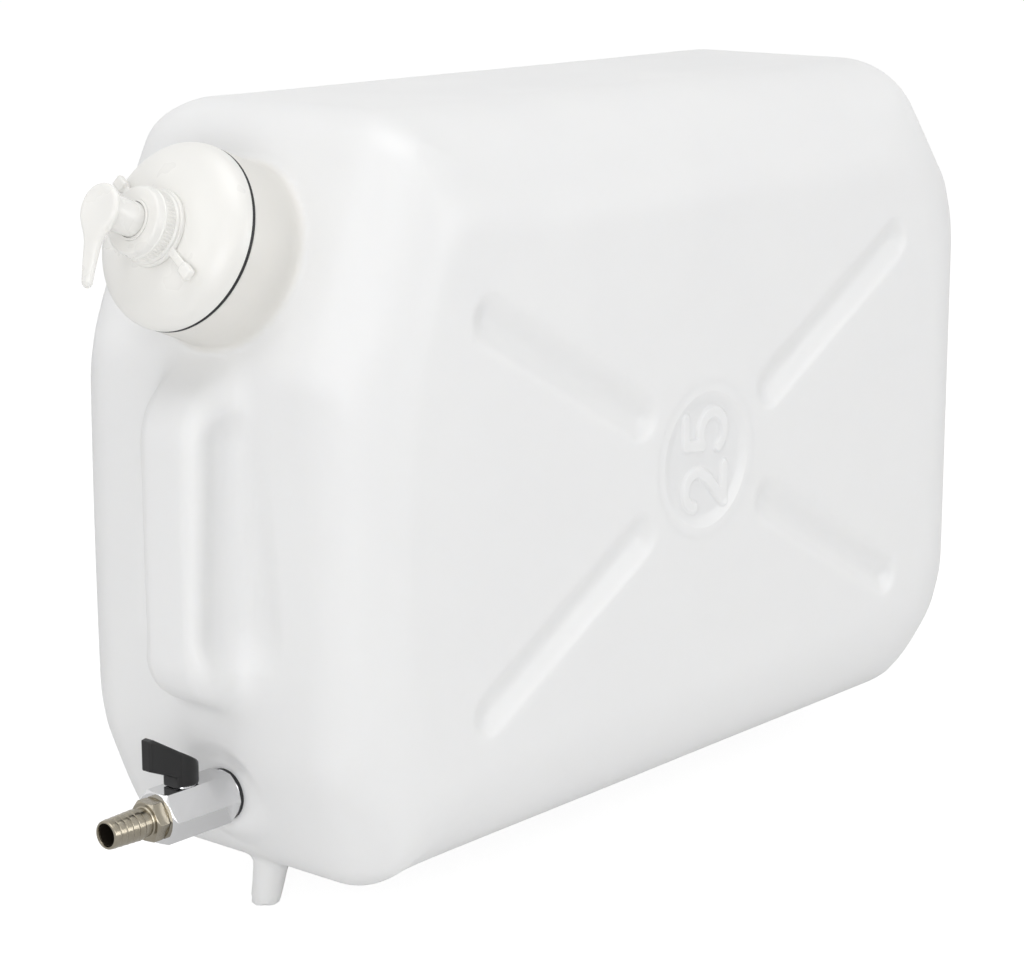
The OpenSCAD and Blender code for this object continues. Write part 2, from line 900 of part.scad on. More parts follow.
module valve_body() {
    color([0.82, 0.83, 0.85])
        difference() {
            union() {
                on_valve_axis() {
                    translate([0, 0, -tail_length])
                        cylinder(h = tail_length + body_low + 1, r = tail_radius);
                    translate([0, 0, body_low])
                        cylinder(h = 3, r = neck_round);
                    intersection() {
                        hex(body_low + 2.4, body_high, body_flats);
                        translate([0, 0, body_low])
                            cylinder(h = 5, r1 = neck_round - 2.6, r2 = neck_round + 2.4);
                    }
                    hex(body_low + 4.9, body_high - 1.2, body_flats);
                    translate([0, 0, body_high - 1.2])
                        intersection() {
                            hex(0, 1.2, body_flats);
                            cylinder(h = 1.2, r1 = hex_radius, r2 = hex_radius - 1.2);
                        }
                }
                on_lever_axis()
                    translate([0, 0, tap_height])
                        cylinder(h = body_flats / 2 + boss_rise, r = stem_boss);
            }
            on_valve_axis() {
                translate([0, 0, -tail_length - 1])
                    cylinder(h = tail_length + chamber_low + 2, r = waterway);
                translate([0, 0, chamber_low])
                    cylinder(h = insert_low - chamber_low + 1, r = cavity_radius);
                translate([0, 0, insert_low])
                    cylinder(h = body_high, r = insert_radius);
            }
            on_lever_axis() {
                translate([0, 0, tap_height])
                    cylinder(h = 60, r = stem_shaft + pump_gap);
                translate([0, 0, tap_height])
                    cylinder(h = body_flats / 2 - 1.8, r = stem_head + 0.3);
            }
        }
}

module valve_insert() {
    color([0.8, 0.81, 0.83])
        on_valve_axis()
            difference() {
                translate([0, 0, insert_low])
                    cylinder(h = body_high - insert_low, r = insert_radius);
                translate([0, 0, insert_low - 1])
                    cylinder(h = body_high, r = waterway + 0.4);
                translate([0, 0, insert_low + 1.5])
                    cylinder(h = body_high, r = thread_radius);
            }
}

module valve_ball() {
    color([0.86, 0.87, 0.89])
        translate([0, ball_y, tap_height])
            difference() {
                sphere(r = ball_radius);
                rotate([90, 0, 0])
                    translate([0, 0, -ball_radius - 1])
                        cylinder(h = 2 * ball_radius + 2, r = waterway);
                translate([-slot_width / 2 - 0.1, -ball_radius, slot_low])
                    cube([slot_width + 0.2, 2 * ball_radius, ball_radius]);
            }
}

// Two rings with a hollow face that fits the ball.
module ball_seats() {
    color([0.93, 0.93, 0.93])
        on_valve_axis()
            difference() {
                union() {
                    tube(chamber_low, chamber_low + seat_thick, cavity_radius - 0.1, waterway + 0.2);
                    tube(insert_low - seat_thick, insert_low, cavity_radius - 0.1, waterway + 0.2);
                }
                translate([0, 0, ball_out])
                    sphere(r = ball_radius + 0.05);
            }
}

// The stem: a tongue in the ball's slot, a head that keeps it in, and a shaft with two flats.
module valve_stem() {
    color([0.8, 0.8, 0.78])
        on_lever_axis()
            difference() {
                union() {
                    translate([-slot_width / 2, -stem_head + 0.8, tap_height + slot_low + 0.2])
                        cube([slot_width, 2 * stem_head - 1.6, 3]);
                    translate([0, 0, tap_height + ball_radius + 0.2])
                        cylinder(h = body_flats / 2 - 2.1 - ball_radius - 0.2, r = stem_head);
                    translate([0, 0, tap_height + ball_radius + 0.2])
                        cylinder(h = screw_seat - tap_height - ball_radius - 0.4, r = stem_shaft);
                }
                translate([0, 0, screw_seat - 6])
                    cylinder(h = 10, r = screw_shank);
            }
}

module stem_seal() {
    color([0.1, 0.1, 0.1])
        on_lever_axis()
            tube(body_top - 2.1, body_top - 1.8, stem_head, stem_shaft + 0.1);
}

// Side view of the lever: a hub that caps the stem's boss and rises into a tall blade over the barb.
module lever_side() {
    translate([ball_y, 0])
        polygon([
            [hub_radius, lever_low],
            [hub_radius, body_top + lever_back],
            [-lever_reach + 2.5, body_top + lever_front],
            [-lever_reach, body_top + lever_front - 0.4],
            [-lever_reach, body_top + lever_back + 1],
            [-hub_radius - 4, body_top + lever_back - 3],
            [-hub_radius, body_top + lever_back - 5],
            [-hub_radius, lever_low]
        ]);
}

// The lever seen from above: a round hub that narrows into the blade, from a height upward.
module lever_stock() {
    translate([0, ball_y, lever_low - 1]) {
        cylinder(h = lever_front + 2, r = hub_radius);
        linear_extrude(lever_front + 2)
            polygon([
                [-hub_radius * 0.8, 0],
                [hub_radius * 0.8, 0],
                [blade_thick / 2, -lever_reach - 1],
                [-blade_thick / 2, -lever_reach - 1]
            ]);
    }
}

module valve_lever() {
    color([0.07, 0.07, 0.08])
        difference() {
            intersection() {
                lever_stock();
                translate([-hub_radius - 1, 0, 0])
                    rotate([90, 0, 90])
                        linear_extrude(2 * hub_radius + 2)
                            lever_side();
            }
            on_lever_axis() {
                translate([0, 0, lever_low - 1])
                    cylinder(h = boss_top + lever_gap - lever_low + 1, r = hub_socket);
                translate([0, 0, lever_low - 1])
                    cylinder(h = screw_seat - lever_low + 0.8, r = stem_shaft + 0.05);
                translate([0, 0, lever_low])
                    cylinder(h = lever_front, r = screw_shank + 0.2);
                translate([0, 0, screw_seat + 1])
                    cylinder(h = lever_front, r = screw_head + 0.5);
            }
        }
}

module lever_screw() {
    color([0.75, 0.76, 0.78])
        on_lever_axis()
            difference() {
                union() {
                    translate([0, 0, screw_seat - 5.8])
                        cylinder(h = 7, r = screw_shank - 0.02);
                    translate([0, 0, screw_seat + 1])
                        cylinder(h = 2.2, r = screw_head);
                }
                for (turn = [0, 90])
                    rotate([0, 0, turn + 45])
                        translate([-screw_head * 0.6, -0.45, screw_seat + 2.2])
                            cube([screw_head * 1.2, 0.9, 2]);
            }
}

// Half section of the barb outside its nut: a taper with shallow ridges.
module barb_section() {
    pitch = (barb_length - 5) / barb_ridges;
    difference() {
        union() {
            translate([waterway, nut_high])
                square([barb_root - 0.7 - waterway, 5]);
            for (k = [0 : barb_ridges - 1]) {
                low = nut_high + 5 + k * pitch;
                wide = barb_root + (barb_tip - barb_root) * k / barb_ridges;
                polygon([
                    [waterway, low],
                    [wide, low],
                    [wide - 0.45, low + pitch],
                    [waterway, low + pitch]
                ]);
            }
        }
        square([waterway, barb_high + 10]);
    }
}

module hose_barb() {
    color([0.72, 0.68, 0.6])
        on_valve_axis() {
            rotate_extrude()
                barb_section();
            difference() {
                union() {
                    intersection() {
                        hex(body_high, nut_high, nut_flats);
                        translate([0, 0, body_high])
                            cylinder(h = nut_thick, r1 = nut_flats / sqrt(3) + 4, r2 = nut_flats / sqrt(3) - 0.9);
                    }
                    translate([0, 0, body_high - barb_tail])
                        cylinder(h = barb_tail + 1, r = thread_radius - 0.1);
                }
                translate([0, 0, body_high - barb_tail - 1])
                    cylinder(h = barb_tail + nut_thick + 3, r = waterway);
            }
        }
}

module outer_washer() {
    color([0.06, 0.06, 0.06])
        on_valve_axis()
            tube(0, washer_thick, neck_round + 0.3, tail_radius + 0.1);
}

module inner_washer() {
    color([0.06, 0.06, 0.06])
        on_valve_axis()
            tube(-nut_inner, -pad_wall, pad_boss - tank_wall - 0.8, tail_radius + 0.1);
}

module lock_nut() {
    color([0.78, 0.75, 0.68])
        on_valve_axis()
            difference() {
                translate([0, 0, -nut_inner - lock_thick])
                    cylinder(h = lock_thick, r = lock_radius, $fn = 6);
                translate([0, 0, -nut_inner - lock_thick - 1])
                    cylinder(h = lock_thick + 2, r = tail_radius + 0.1);
            }
}

tank();
lid();
lid_gasket();
wing_ring();
soap_bottle();
pump_collar();
pump_gasket();
pump_chamber();
pump_guide();
pump_head();
pump_stem();
pump_piston();
pump_spring();
check_ball();
dip_tube();
valve_body();
valve_insert();
valve_ball();
ball_seats();
valve_stem();
stem_seal();
valve_lever();
lever_screw();
hose_barb();
outer_washer();
inner_washer();
lock_nut();
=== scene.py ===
"""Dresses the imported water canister: blown tank, screw lid with soap pump, and small ball valve."""
import sys
import logging
import math
from dataclasses import dataclass, field
from enum import Enum
from typing import Callable, Optional, Sequence

import bpy
import numpy as np
from mathutils import Matrix, Vector


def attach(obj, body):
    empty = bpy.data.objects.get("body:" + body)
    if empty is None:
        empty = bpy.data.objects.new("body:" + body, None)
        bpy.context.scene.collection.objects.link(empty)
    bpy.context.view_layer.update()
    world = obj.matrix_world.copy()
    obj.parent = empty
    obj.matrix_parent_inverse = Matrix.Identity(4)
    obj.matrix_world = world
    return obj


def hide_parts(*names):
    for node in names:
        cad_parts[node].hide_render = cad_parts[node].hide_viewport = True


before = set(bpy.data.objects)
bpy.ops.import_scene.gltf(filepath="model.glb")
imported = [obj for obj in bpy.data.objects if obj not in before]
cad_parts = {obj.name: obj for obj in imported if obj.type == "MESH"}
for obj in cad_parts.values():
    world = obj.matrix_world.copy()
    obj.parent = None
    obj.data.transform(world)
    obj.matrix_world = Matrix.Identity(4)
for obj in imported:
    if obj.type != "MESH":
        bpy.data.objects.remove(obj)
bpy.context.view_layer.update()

LOG = logging.getLogger("canister")
MM = 0.001
# Roundness of a hexagonal bar's corners, in mm.
HEX_CORNER = 0.35
# Flats in mm that are so wide that a turned row stays round.
ROUND = 40.0
Field = Callable[[np.ndarray], np.ndarray]
Net = tuple[np.ndarray, np.ndarray]


# Colour and nodes.


def linear(hex_colour: str) -> tuple[float, float, float, float]:
    """Turns an sRGB hex colour into the linear RGBA that Blender's sockets take.

    Args:
        hex_colour: Six hex digits with a leading hash.

    Returns:
        Linear red, green, blue and an alpha of 1.
    """
    values = np.array([int(hex_colour[k:k + 2], 16) for k in (1, 3, 5)]) / 255.0
    low = values / 12.92
    high = ((values + 0.055) / 1.055) ** 2.4
    return (*np.where(values <= 0.04045, low, high).tolist(), 1.0)


def add_node(tree: bpy.types.NodeTree, kind: str, settings: Optional[dict] = None,
             links: Optional[dict] = None) -> bpy.types.Node:
    """Adds one node to a tree with its settings and its incoming links.

    Args:
        tree: The node tree that gets the node.
        kind: Blender's identifier of the node type.
        settings: Values by attribute name, or by input name or index.
        links: Output sockets by the name or index of the input that they feed.

    Returns:
        The new node.
    """
    node = tree.nodes.new(kind)
    for key, value in (settings or {}).items():
        if isinstance(key, str) and hasattr(node, key):
            setattr(node, key, value)
        else:
            node.inputs[key].default_value = value
    for key, source in (links or {}).items():
        tree.links.new(source, node.inputs[key])
    return node


def neck_shade_mask(tree: bpy.types.NodeTree, place: bpy.types.NodeSocket) -> bpy.types.NodeSocket:
    """Mask of the painted shade on the neck: 1 on its cylinder, faded out within a few mm beyond it, 0 on the
    body.

    Args:
        tree: The node tree that gets the nodes.
        place: Object coordinates.

    Returns:
        The mask's output socket.
    """
    kind = "ShaderNodeVectorMath"
    rim = [value * MM for value in RIM]
    axis = (0.0, -math.cos(TILT), math.sin(TILT))
    away = add_node(tree, kind, {"operation": "SUBTRACT", 1: rim}, {0: place})
    across = add_node(tree, kind, {"operation": "CROSS_PRODUCT", 1: axis}, {0: away.outputs[0]})
    radius = add_node(tree, kind, {"operation": "LENGTH"}, {0: across.outputs[0]})
    along = add_node(tree, kind, {"operation": "DOT_PRODUCT", 1: axis}, {0: away.outputs[0]})
    near = add_node(tree, "ShaderNodeMapRange",
                    {"interpolation_type": "SMOOTHSTEP", "From Min": 40.8 * MM, "From Max": 44.5 * MM,
                     "To Min": 1.0, "To Max": 0.0}, {"Value": radius.outputs["Value"]})
    front = add_node(tree, "ShaderNodeMapRange",
                     {"From Min": -60 * MM, "From Max": -45 * MM}, {"Value": along.outputs["Value"]})
    both = add_node(tree, "ShaderNodeMath", {"operation": "MULTIPLY"},
                    {0: near.outputs["Result"], 1: front.outputs["Result"]})
    return both.outputs[0]


# Finishes.


class Slot(Enum):
    """Names of the record's material slots."""

    HDPE = "natural_hdpe"
    WHITE = "white_pp"
    CHROME = "chrome_brass"
    NICKEL = "nickel_brass"
    NYLON = "black_nylon"


@dataclass(frozen=True)
class Finish:
    """A moulded, turned or plated surface: its colour, gloss, and the fine relief that it was made with.

    The relief is noise with a grain in mm and a height in mm. The blotch is a slow change of roughness,
    and the tint a slow change of colour, as from handling and from uneven cooling. The haze lets light
    in under the surface, the lathe adds turning rings, and the neck colour is painted shade that darkens
    the tank's neck under the lid.
    """

    name: str
    colour: str
    roughness: float
    grain_mm: float
    relief_mm: float
    metallic: float = 0.0
    ior: float = 1.5
    blotch: float = 0.06
    tint: str = ""
    tint_mm: float = 60.0
    haze: float = 0.0
    haze_mm: float = 6.0
    lathe_mm: float = 0.0
    lathe_axis: tuple[float, float, float] = (0.0, 1.0, 0.0)
    # Colour of painted shade on the tank's neck, under the lid.
    neck: str = ""

    def build(self) -> bpy.types.Material:
        """Builds the node material.

        Returns:
            The finished material, one of a kind for this finish.
        """
        material = bpy.data.materials.new(self.name)
        material.use_nodes = True
        tree = material.node_tree
        shader = tree.nodes["Principled BSDF"]
        shader.inputs["Base Color"].default_value = linear(self.colour)
        shader.inputs["Metallic"].default_value = self.metallic
        shader.inputs["IOR"].default_value = self.ior
        if self.haze:
            shader.inputs["Subsurface Weight"].default_value = self.haze
            shader.inputs["Subsurface Radius"].default_value = (1.0, 0.95, 0.85)
            shader.inputs["Subsurface Scale"].default_value = self.haze_mm * MM
        place = add_node(tree, "ShaderNodeTexCoord").outputs["Object"]
        slow = add_node(tree, "ShaderNodeTexNoise",
                        {"Scale": 1.0 / (self.tint_mm * MM), "Detail": 3.0}, {"Vector": place})
        spread = add_node(tree, "ShaderNodeMapRange",
                          {"From Min": 0.3, "From Max": 0.7,
                           "To Min": self.roughness - self.blotch, "To Max": self.roughness + self.blotch},
                          {"Value": slow.outputs["Fac"]})
        tree.links.new(spread.outputs["Result"], shader.inputs["Roughness"])
        if self.tint:
            mix = add_node(tree, "ShaderNodeMix",
                           {"data_type": "RGBA", 6: linear(self.colour), 7: linear(self.tint)},
                           {0: slow.outputs["Fac"]})
            tree.links.new(mix.outputs[2], shader.inputs["Base Color"])
        # Painted shade: the neck colour darkens the tank's neck under the lid.
        if self.neck:
            mask = neck_shade_mask(tree, place)
            painted_neck_shade = add_node(tree, "ShaderNodeMix", {"data_type": "RGBA", 7: linear(self.neck)},
                             {0: mask, 6: mix.outputs[2]})
            tree.links.new(painted_neck_shade.outputs[2], shader.inputs["Base Color"])
        fine = add_node(tree, "ShaderNodeTexNoise",
                        {"Scale": 1.0 / (self.grain_mm * MM), "Detail": 2.0}, {"Vector": place})
        bump = add_node(tree, "ShaderNodeBump",
                        {"Distance": self.relief_mm * MM, "Strength": 0.6}, {"Height": fine.outputs["Fac"]})
        if self.lathe_mm:
            along = add_node(tree, "ShaderNodeVectorMath",
                             {"operation": "DOT_PRODUCT", 1: self.lathe_axis}, {0: place})
            turns = add_node(tree, "ShaderNodeMath",
                             {"operation": "MULTIPLY", 1: 2 * math.pi / (self.lathe_mm * MM)},
                             {0: along.outputs["Value"]})
            ridge = add_node(tree, "ShaderNodeMath", {"operation": "SINE"}, {0: turns.outputs[0]})
            rings = add_node(tree, "ShaderNodeBump",
                             {"Distance": 0.02 * MM, "Strength": 0.5},
                             {"Height": ridge.outputs[0], "Normal": bump.outputs["Normal"]})
            tree.links.new(rings.outputs["Normal"], shader.inputs["Normal"])
        else:
            tree.links.new(bump.outputs["Normal"], shader.inputs["Normal"])
        return material


# Natural high-density polyethylene, blow moulded: milky, waxy, with slow cloudiness from the wall's
# thickness and the faint orange peel of a sand-blasted mould.
# Its neck colour is painted shade: the tank's neck is darkened under the lid.
HDPE = Finish("natural_polyethylene_blow_moulded", "#efefee", 0.46, 1.6, 0.030,
              ior=1.54, blotch=0.05, tint="#eaeaea", tint_mm=70.0, haze=0.22, haze_mm=7.0, neck="#e4e2dd")
# White polypropylene, injection moulded in a polished tool: warm white, satin gloss.
POLYPROPYLENE = Finish("white_polypropylene_injection_moulded", "#eeedea", 0.30, 0.7, 0.010,
                       ior=1.49, tint="#e9e8e4", tint_mm=25.0, haze=0.12, haze_mm=2.0)
# Natural polypropylene of pump barrel, piston and dip tube: greyish and cloudy.
MILKY = Finish("natural_polypropylene_moulded", "#e2e5e6", 0.34, 0.6, 0.010,
               ior=1.49, tint="#d6dbdc", tint_mm=12.0, haze=0.3, haze_mm=2.0)
# Milky polyethylene bottle: duller than the pump's parts.
BOTTLE = Finish("milky_polyethylene_blown", "#e3e6e7", 0.42, 1.2, 0.020,
                ior=1.54, tint="#d9dddf", tint_mm=30.0, haze=0.3, haze_mm=4.0)
# Nitrile rubber, moulded: black and dull, with a fine bloom.
NITRILE = Finish("nitrile_rubber_moulded", "#17171a", 0.62, 0.35, 0.015, ior=1.52,
                 tint="#202022", tint_mm=6.0)
# Closed-cell foam disc: grey with open cut cells.
FOAM = Finish("polyethylene_foam_punched", "#b4b5b4", 0.8, 0.5, 0.08, tint="#a3a4a3", tint_mm=3.0)
# Chromed brass, polished: near mirror with a trace of buffing waves.
CHROME = Finish("chrome_on_brass_polished", "#dededf", 0.09, 4.0, 0.004, metallic=1.0, blotch=0.03)
# Nickel on turned brass: warm grey, with the tool's fine rings left in the plating.
NICKEL = Finish("nickel_on_brass_turned", "#aaa497", 0.20, 0.8, 0.006, metallic=1.0, blotch=0.05,
                tint="#9a9281", tint_mm=5.0, lathe_mm=0.5)
# The barb's bore: unplated brass, darkened as painted shade deep inside the hole.
PAINTED_BORE_SHADE = Finish("brass_bore_painted_shade", "#3a342b", 0.55, 0.6, 0.010, metallic=0.6, tint="#262019", tint_mm=4.0)
# Bare brass stem, turned.
BRASS = Finish("brass_turned", "#c9a35c", 0.26, 0.6, 0.006, metallic=1.0, tint="#b8924e", tint_mm=6.0)
# Zinc-plated steel screw: bright with a slightly grainy plating.
ZINC = Finish("zinc_on_steel_plated", "#d3d6da", 0.24, 0.25, 0.006, metallic=1.0, tint="#bfc4ca", tint_mm=3.0)
# Stainless spring wire and ball, drawn and ground.
STAINLESS = Finish("stainless_steel_drawn", "#c6c8ca", 0.2, 0.3, 0.004, metallic=1.0)
# Glass-filled nylon lever: black, spark-eroded grain that scatters the highlight.
NYLON = Finish("glass_filled_nylon_moulded", "#0b0b0c", 0.38, 0.55, 0.03, ior=1.5,
               tint="#101011", tint_mm=8.0)
# Fluoropolymer seats, turned: dead white and waxy.
SEAT = Finish("fluoropolymer_turned", "#eceded", 0.5, 0.5, 0.01, ior=1.35)

NODE_FINISH = {
    "tank": HDPE, "lid": POLYPROPYLENE, "wing_ring": POLYPROPYLENE, "pump_collar": POLYPROPYLENE,
    "pump_guide": POLYPROPYLENE, "pump_head": POLYPROPYLENE, "soap_bottle": BOTTLE,
    "pump_chamber": MILKY, "pump_stem": MILKY, "pump_piston": MILKY, "dip_tube": MILKY,
    "ball_seats": SEAT, "lid_gasket": NITRILE, "outer_washer": NITRILE, "inner_washer": NITRILE,
    "stem_seal": NITRILE, "pump_gasket": FOAM, "valve_body": CHROME, "valve_ball": CHROME,
    "lever_screw": ZINC, "valve_insert": NICKEL, "hose_barb": NICKEL, "lock_nut": NICKEL,
    "valve_stem": BRASS, "pump_spring": STAINLESS, "check_ball": STAINLESS, "valve_lever": NYLON,
}


class Wardrobe:
    """Keeps one built material for each finish, and dresses pieces and CAD nodes with them."""

    def __init__(self) -> None:
        """Starts with no material built."""
        self._built: dict[str, bpy.types.Material] = {}

    def material(self, finish: Finish) -> bpy.types.Material:
        """Looks up the material of a finish, and builds it on first use.

        Args:
            finish: The finish that is asked for.

        Returns:
            The one material that all pieces of this finish share.
        """
        if finish.name not in self._built:
            self._built[finish.name] = finish.build()
        return self._built[finish.name]

    def dress_node(self, name: str) -> None:
        """Gives a CAD node its finish in every material slot.

        Args:
            name: The node's name in the frame.
        """
        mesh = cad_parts[name].data
        mesh.materials.clear()
        mesh.materials.append(self.material(NODE_FINISH[name]))


WARDROBE = Wardrobe()


# Meshes.


def add_piece(name: str, points: np.ndarray, faces: Sequence, finish: Finish, body: str, slot: Slot,
              replaces: Sequence[str] = (), sharp_deg: float = 35.0) -> bpy.types.Object:
    """Makes a mesh object from points in mm, dresses it and lets it ride on its body.

    Args:
        name: The piece's name.
        points: Vertices in mm, one row each.
        faces: Index rows, of quads or triangles.
        finish: The surface finish.
        body: The CAD body that the piece moves with.
        slot: Not used.
        replaces: CAD nodes that the piece stands for.
        sharp_deg: Edges that turn more than this stay crisp.

    Returns:
        The new object.
    """
    mesh = bpy.data.meshes.new(name)
    mesh.from_pydata((np.asarray(points) * MM).tolist(), [], [list(map(int, face)) for face in faces])
    mesh.validate()
    return adopt(name, mesh, finish, body, slot, replaces, sharp_deg)


def adopt(name: str, mesh: bpy.types.Mesh, finish: Finish, body: str, slot: Slot,
          replaces: Sequence[str] = (), sharp_deg: float = 35.0) -> bpy.types.Object:
    """Puts a mesh into the scene as a dressed piece that rides on its body, and reports it.

    Args:
        name: The piece's name.
        mesh: The mesh, in metres and in the part's place.
        finish: The surface finish.
        body: The CAD body that the piece moves with.
        slot: Not used.
        replaces: CAD nodes that the piece stands for.
        sharp_deg: Edges that turn more than this stay crisp.

    Returns:
        The new object.
    """
    mesh.materials.clear()
    mesh.materials.append(WARDROBE.material(finish))
    mesh.shade_smooth()
    mesh.set_sharp_from_angle(angle=math.radians(sharp_deg))
    piece = bpy.data.objects.new(name, mesh)
    bpy.context.scene.collection.objects.link(piece)
    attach(piece, body)
    if replaces:
        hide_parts(*replaces)
    LOG.info("%s: %d vertices, %d faces", name, len(mesh.vertices), len(mesh.polygons))
    return piece


def ring_faces(rows: int, columns: int, closed_rows: bool) -> np.ndarray:
    """Quads between the rows of a grid whose columns run round and close on themselves.

    Args:
        rows: Count of rows.
        columns: Count of points in each row.
        closed_rows: Whether the last row joins the first one.

    Returns:
        One row of four indices for each quad.
    """
    last = rows if closed_rows else rows - 1
    row, column = np.meshgrid(np.arange(last), np.arange(columns), indexing="ij")
    after = (row + 1) % rows
    turn = (column + 1) % columns
    return np.stack([row * columns + column, row * columns + turn,
                     after * columns + turn, after * columns + column], -1).reshape(-1, 4)


def resample(profile: Sequence[tuple[float, float]], step: float) -> np.ndarray:
    """Puts points along a polyline no further apart than a step, and keeps its corners.

    Args:
        profile: The polyline's corners.
        step: The longest distance between neighbours.

    Returns:
        The points, one row each.
    """
    corners = np.asarray(profile, float)
    parts = []
    for start, end in zip(corners[:-1], corners[1:]):
        count = max(1, int(np.ceil(np.linalg.norm(end - start) / step)))
        parts.append(start + (end - start) * np.arange(count)[:, None] / count)
    return np.vstack([*parts, corners[-1:]])


def revolve(profile: np.ndarray, steps: int, swell: Optional[Callable] = None) -> Net:
    """Turns a closed half section round the z axis.

    Each point of the section at radius r and height z gives a ring of points r cos(a), r sin(a), z.
    A swell adds a radial amount that may depend on angle, radius and height, for ribs and threads.

    Args:
        profile: Points (radius, height) of a closed section, counter-clockwise seen with the radius to
            the right and the height up, so that faces point outwards.
        steps: Count of points round the axis.
        swell: Function of the arrays angle, radius and height that gives the added radius.

    Returns:
        Points in mm and quads.
    """
    angle = np.linspace(0, 2 * np.pi, steps, endpoint=False)[None, :]
    radius = profile[:, 0:1] + 0 * angle
    height = profile[:, 1:2] + 0 * angle
    if swell is not None:
        radius = radius + swell(angle + 0 * radius, radius, height)
    points = np.stack([radius * np.cos(angle), radius * np.sin(angle), height], -1).reshape(-1, 3)
    return points, ring_faces(len(profile), steps, True)


def turned_hex(rows: np.ndarray) -> Net:
    """A turned bar of hexagonal stock: each row is the smaller of a circle and a hexagon.

    The hexagon's radius at angle a is half its flats over cos(a folded to 30 degrees either side of a
    flat's middle), eased at the corners, and the circle cuts the chamfers and the round stretches.

    Args:
        rows: Columns of height, circle radius and width across the flats, in order round the section.

    Returns:
        Points in mm and quads.
    """
    corner = np.array([-4.0, -2.4, -1.5, -0.9, -0.4, 0.0, 0.4, 0.9, 1.5, 2.4, 4.0])
    flat = np.linspace(7.0, 53.0, 13)
    angle = np.radians(np.concatenate([30 + 60 * k - 30 + np.concatenate([corner, flat]) for k in range(6)]))
    fold = np.degrees(angle)[None, :] % 60.0 - 30.0
    hexagon = rows[:, 2:3] / 2 / np.cos(np.radians(fold))
    tip = rows[:, 2:3] / np.sqrt(3) - 0.155 * HEX_CORNER
    radius = np.minimum(np.minimum(hexagon, tip), rows[:, 1:2])
    height = rows[:, 0:1] + 0 * radius
    points = np.stack([radius * np.cos(angle), radius * np.sin(angle), height], -1).reshape(-1, 3)
    return points, ring_faces(len(rows), radius.shape[1], True)


def fade(value: np.ndarray, start: float, end: float) -> np.ndarray:
    """Smooth step from 0 where the value is at start to 1 where it is at end: 3 s squared less 2 s cubed."""
    share = np.clip((value - start) / (end - start), 0, 1)
    return share ** 2 * (3 - 2 * share)


def net(form: Field, low: Sequence[float], high: Sequence[float], cell: float,
        passes: int = 3) -> Net:
    """Wraps the surface where a distance field is zero in a net of quads.

    The field is sampled on a grid. Each cell that the surface crosses gets one vertex at the mean of the
    crossings on its edges, and each grid edge that is crossed gets one quad of its four cells. Then each
    vertex moves to the mean of its neighbours and back onto the surface along the field's gradient.

    Args:
        form: Distance in mm, negative inside, of points in rows.
        low: Lowest corner in mm.
        high: Highest corner in mm.
        cell: Grid spacing in mm.
        passes: Count of smoothing passes.

    Returns:
        Points in mm and quads that face outwards.
    """
    axes = [np.arange(low[k] - cell, high[k] + 2 * cell, cell) for k in range(3)]
    shape = tuple(len(a) for a in axes)
    grid = np.stack(np.meshgrid(*axes, indexing="ij"), -1).reshape(-1, 3)
    value = np.concatenate([form(part) for part in np.array_split(grid, max(1, len(grid) // 250000))])
    value = value.reshape(shape)
    cells = tuple(n - 1 for n in shape)
    total = np.zeros(cells + (3,))
    count = np.zeros(cells)
    for axis in range(3):
        others = [k for k in range(3) if k != axis]
        for a in (0, 1):
            for b in (0, 1):
                first = [None, None, None]
                second = [None, None, None]
                first[axis] = slice(0, shape[axis] - 1)
                second[axis] = slice(1, shape[axis])
                for other, shift in zip(others, (a, b)):
                    first[other] = second[other] = slice(shift, shape[other] - 1 + shift)
                v0, v1 = value[tuple(first)], value[tuple(second)]
                crossed = (v0 < 0) != (v1 < 0)
                share = np.where(crossed, v0 / np.where(crossed, v0 - v1, 1.0), 0.0)
                for k in range(3):
                    index = [None, None, None]
                    index[k] = slice(None)
                    start = axes[k][first[k]][tuple(index)]
                    total[..., k] += crossed * (start + (share * cell if k == axis else 0.0))
                count += crossed
    filled = count > 0
    number = np.full(cells, -1)
    number[filled] = np.arange(filled.sum())
    points = total[filled] / count[filled][:, None]
    quads = []
    for axis in range(3):
        b, c = (axis + 1) % 3, (axis + 2) % 3
        inner = [slice(None)] * 3
        inner[axis] = slice(0, shape[axis] - 1)
        inner[b] = slice(1, shape[b] - 1)
        inner[c] = slice(1, shape[c] - 1)
        ahead = list(inner)
        ahead[axis] = slice(1, shape[axis])
        v0, v1 = value[tuple(inner)], value[tuple(ahead)]
        for flip in (False, True):
            where = np.argwhere((v0 < 0) & (v1 >= 0) if not flip else (v0 >= 0) & (v1 < 0))
            if not len(where):
                continue
            where[:, b] += 1
            where[:, c] += 1
            corners = []
            for db, dc in ((-1, -1), (0, -1), (0, 0), (-1, 0)):
                at = where.copy()
                at[:, b] += db
                at[:, c] += dc
                corners.append(number[tuple(at.T)])
            quad = np.stack(corners, -1)
            quads.append(quad[:, ::-1] if flip else quad)
    faces = np.vstack(quads)
    edges = np.vstack([faces[:, [k, (k + 1) % 4]] for k in range(4)])
    for step in range(passes + 2):
        if step < passes:
            mean = np.zeros_like(points)
            degree = np.zeros(len(points))
            np.add.at(mean, edges[:, 0], points[edges[:, 1]])
            np.add.at(degree, edges[:, 0], 1.0)
            points = 0.5 * points + 0.5 * mean / degree[:, None]
        points = settle(form, points, cell)
    return points, faces


def gradient(form: Field, points: np.ndarray) -> np.ndarray:
    """Slope of a field at points in rows, from central differences over a tiny step in mm."""
    tiny = 0.02
    return np.stack([(form(points + tiny * np.eye(3)[k]) - form(points - tiny * np.eye(3)[k])) / (2 * tiny)
                     for k in range(3)], -1)


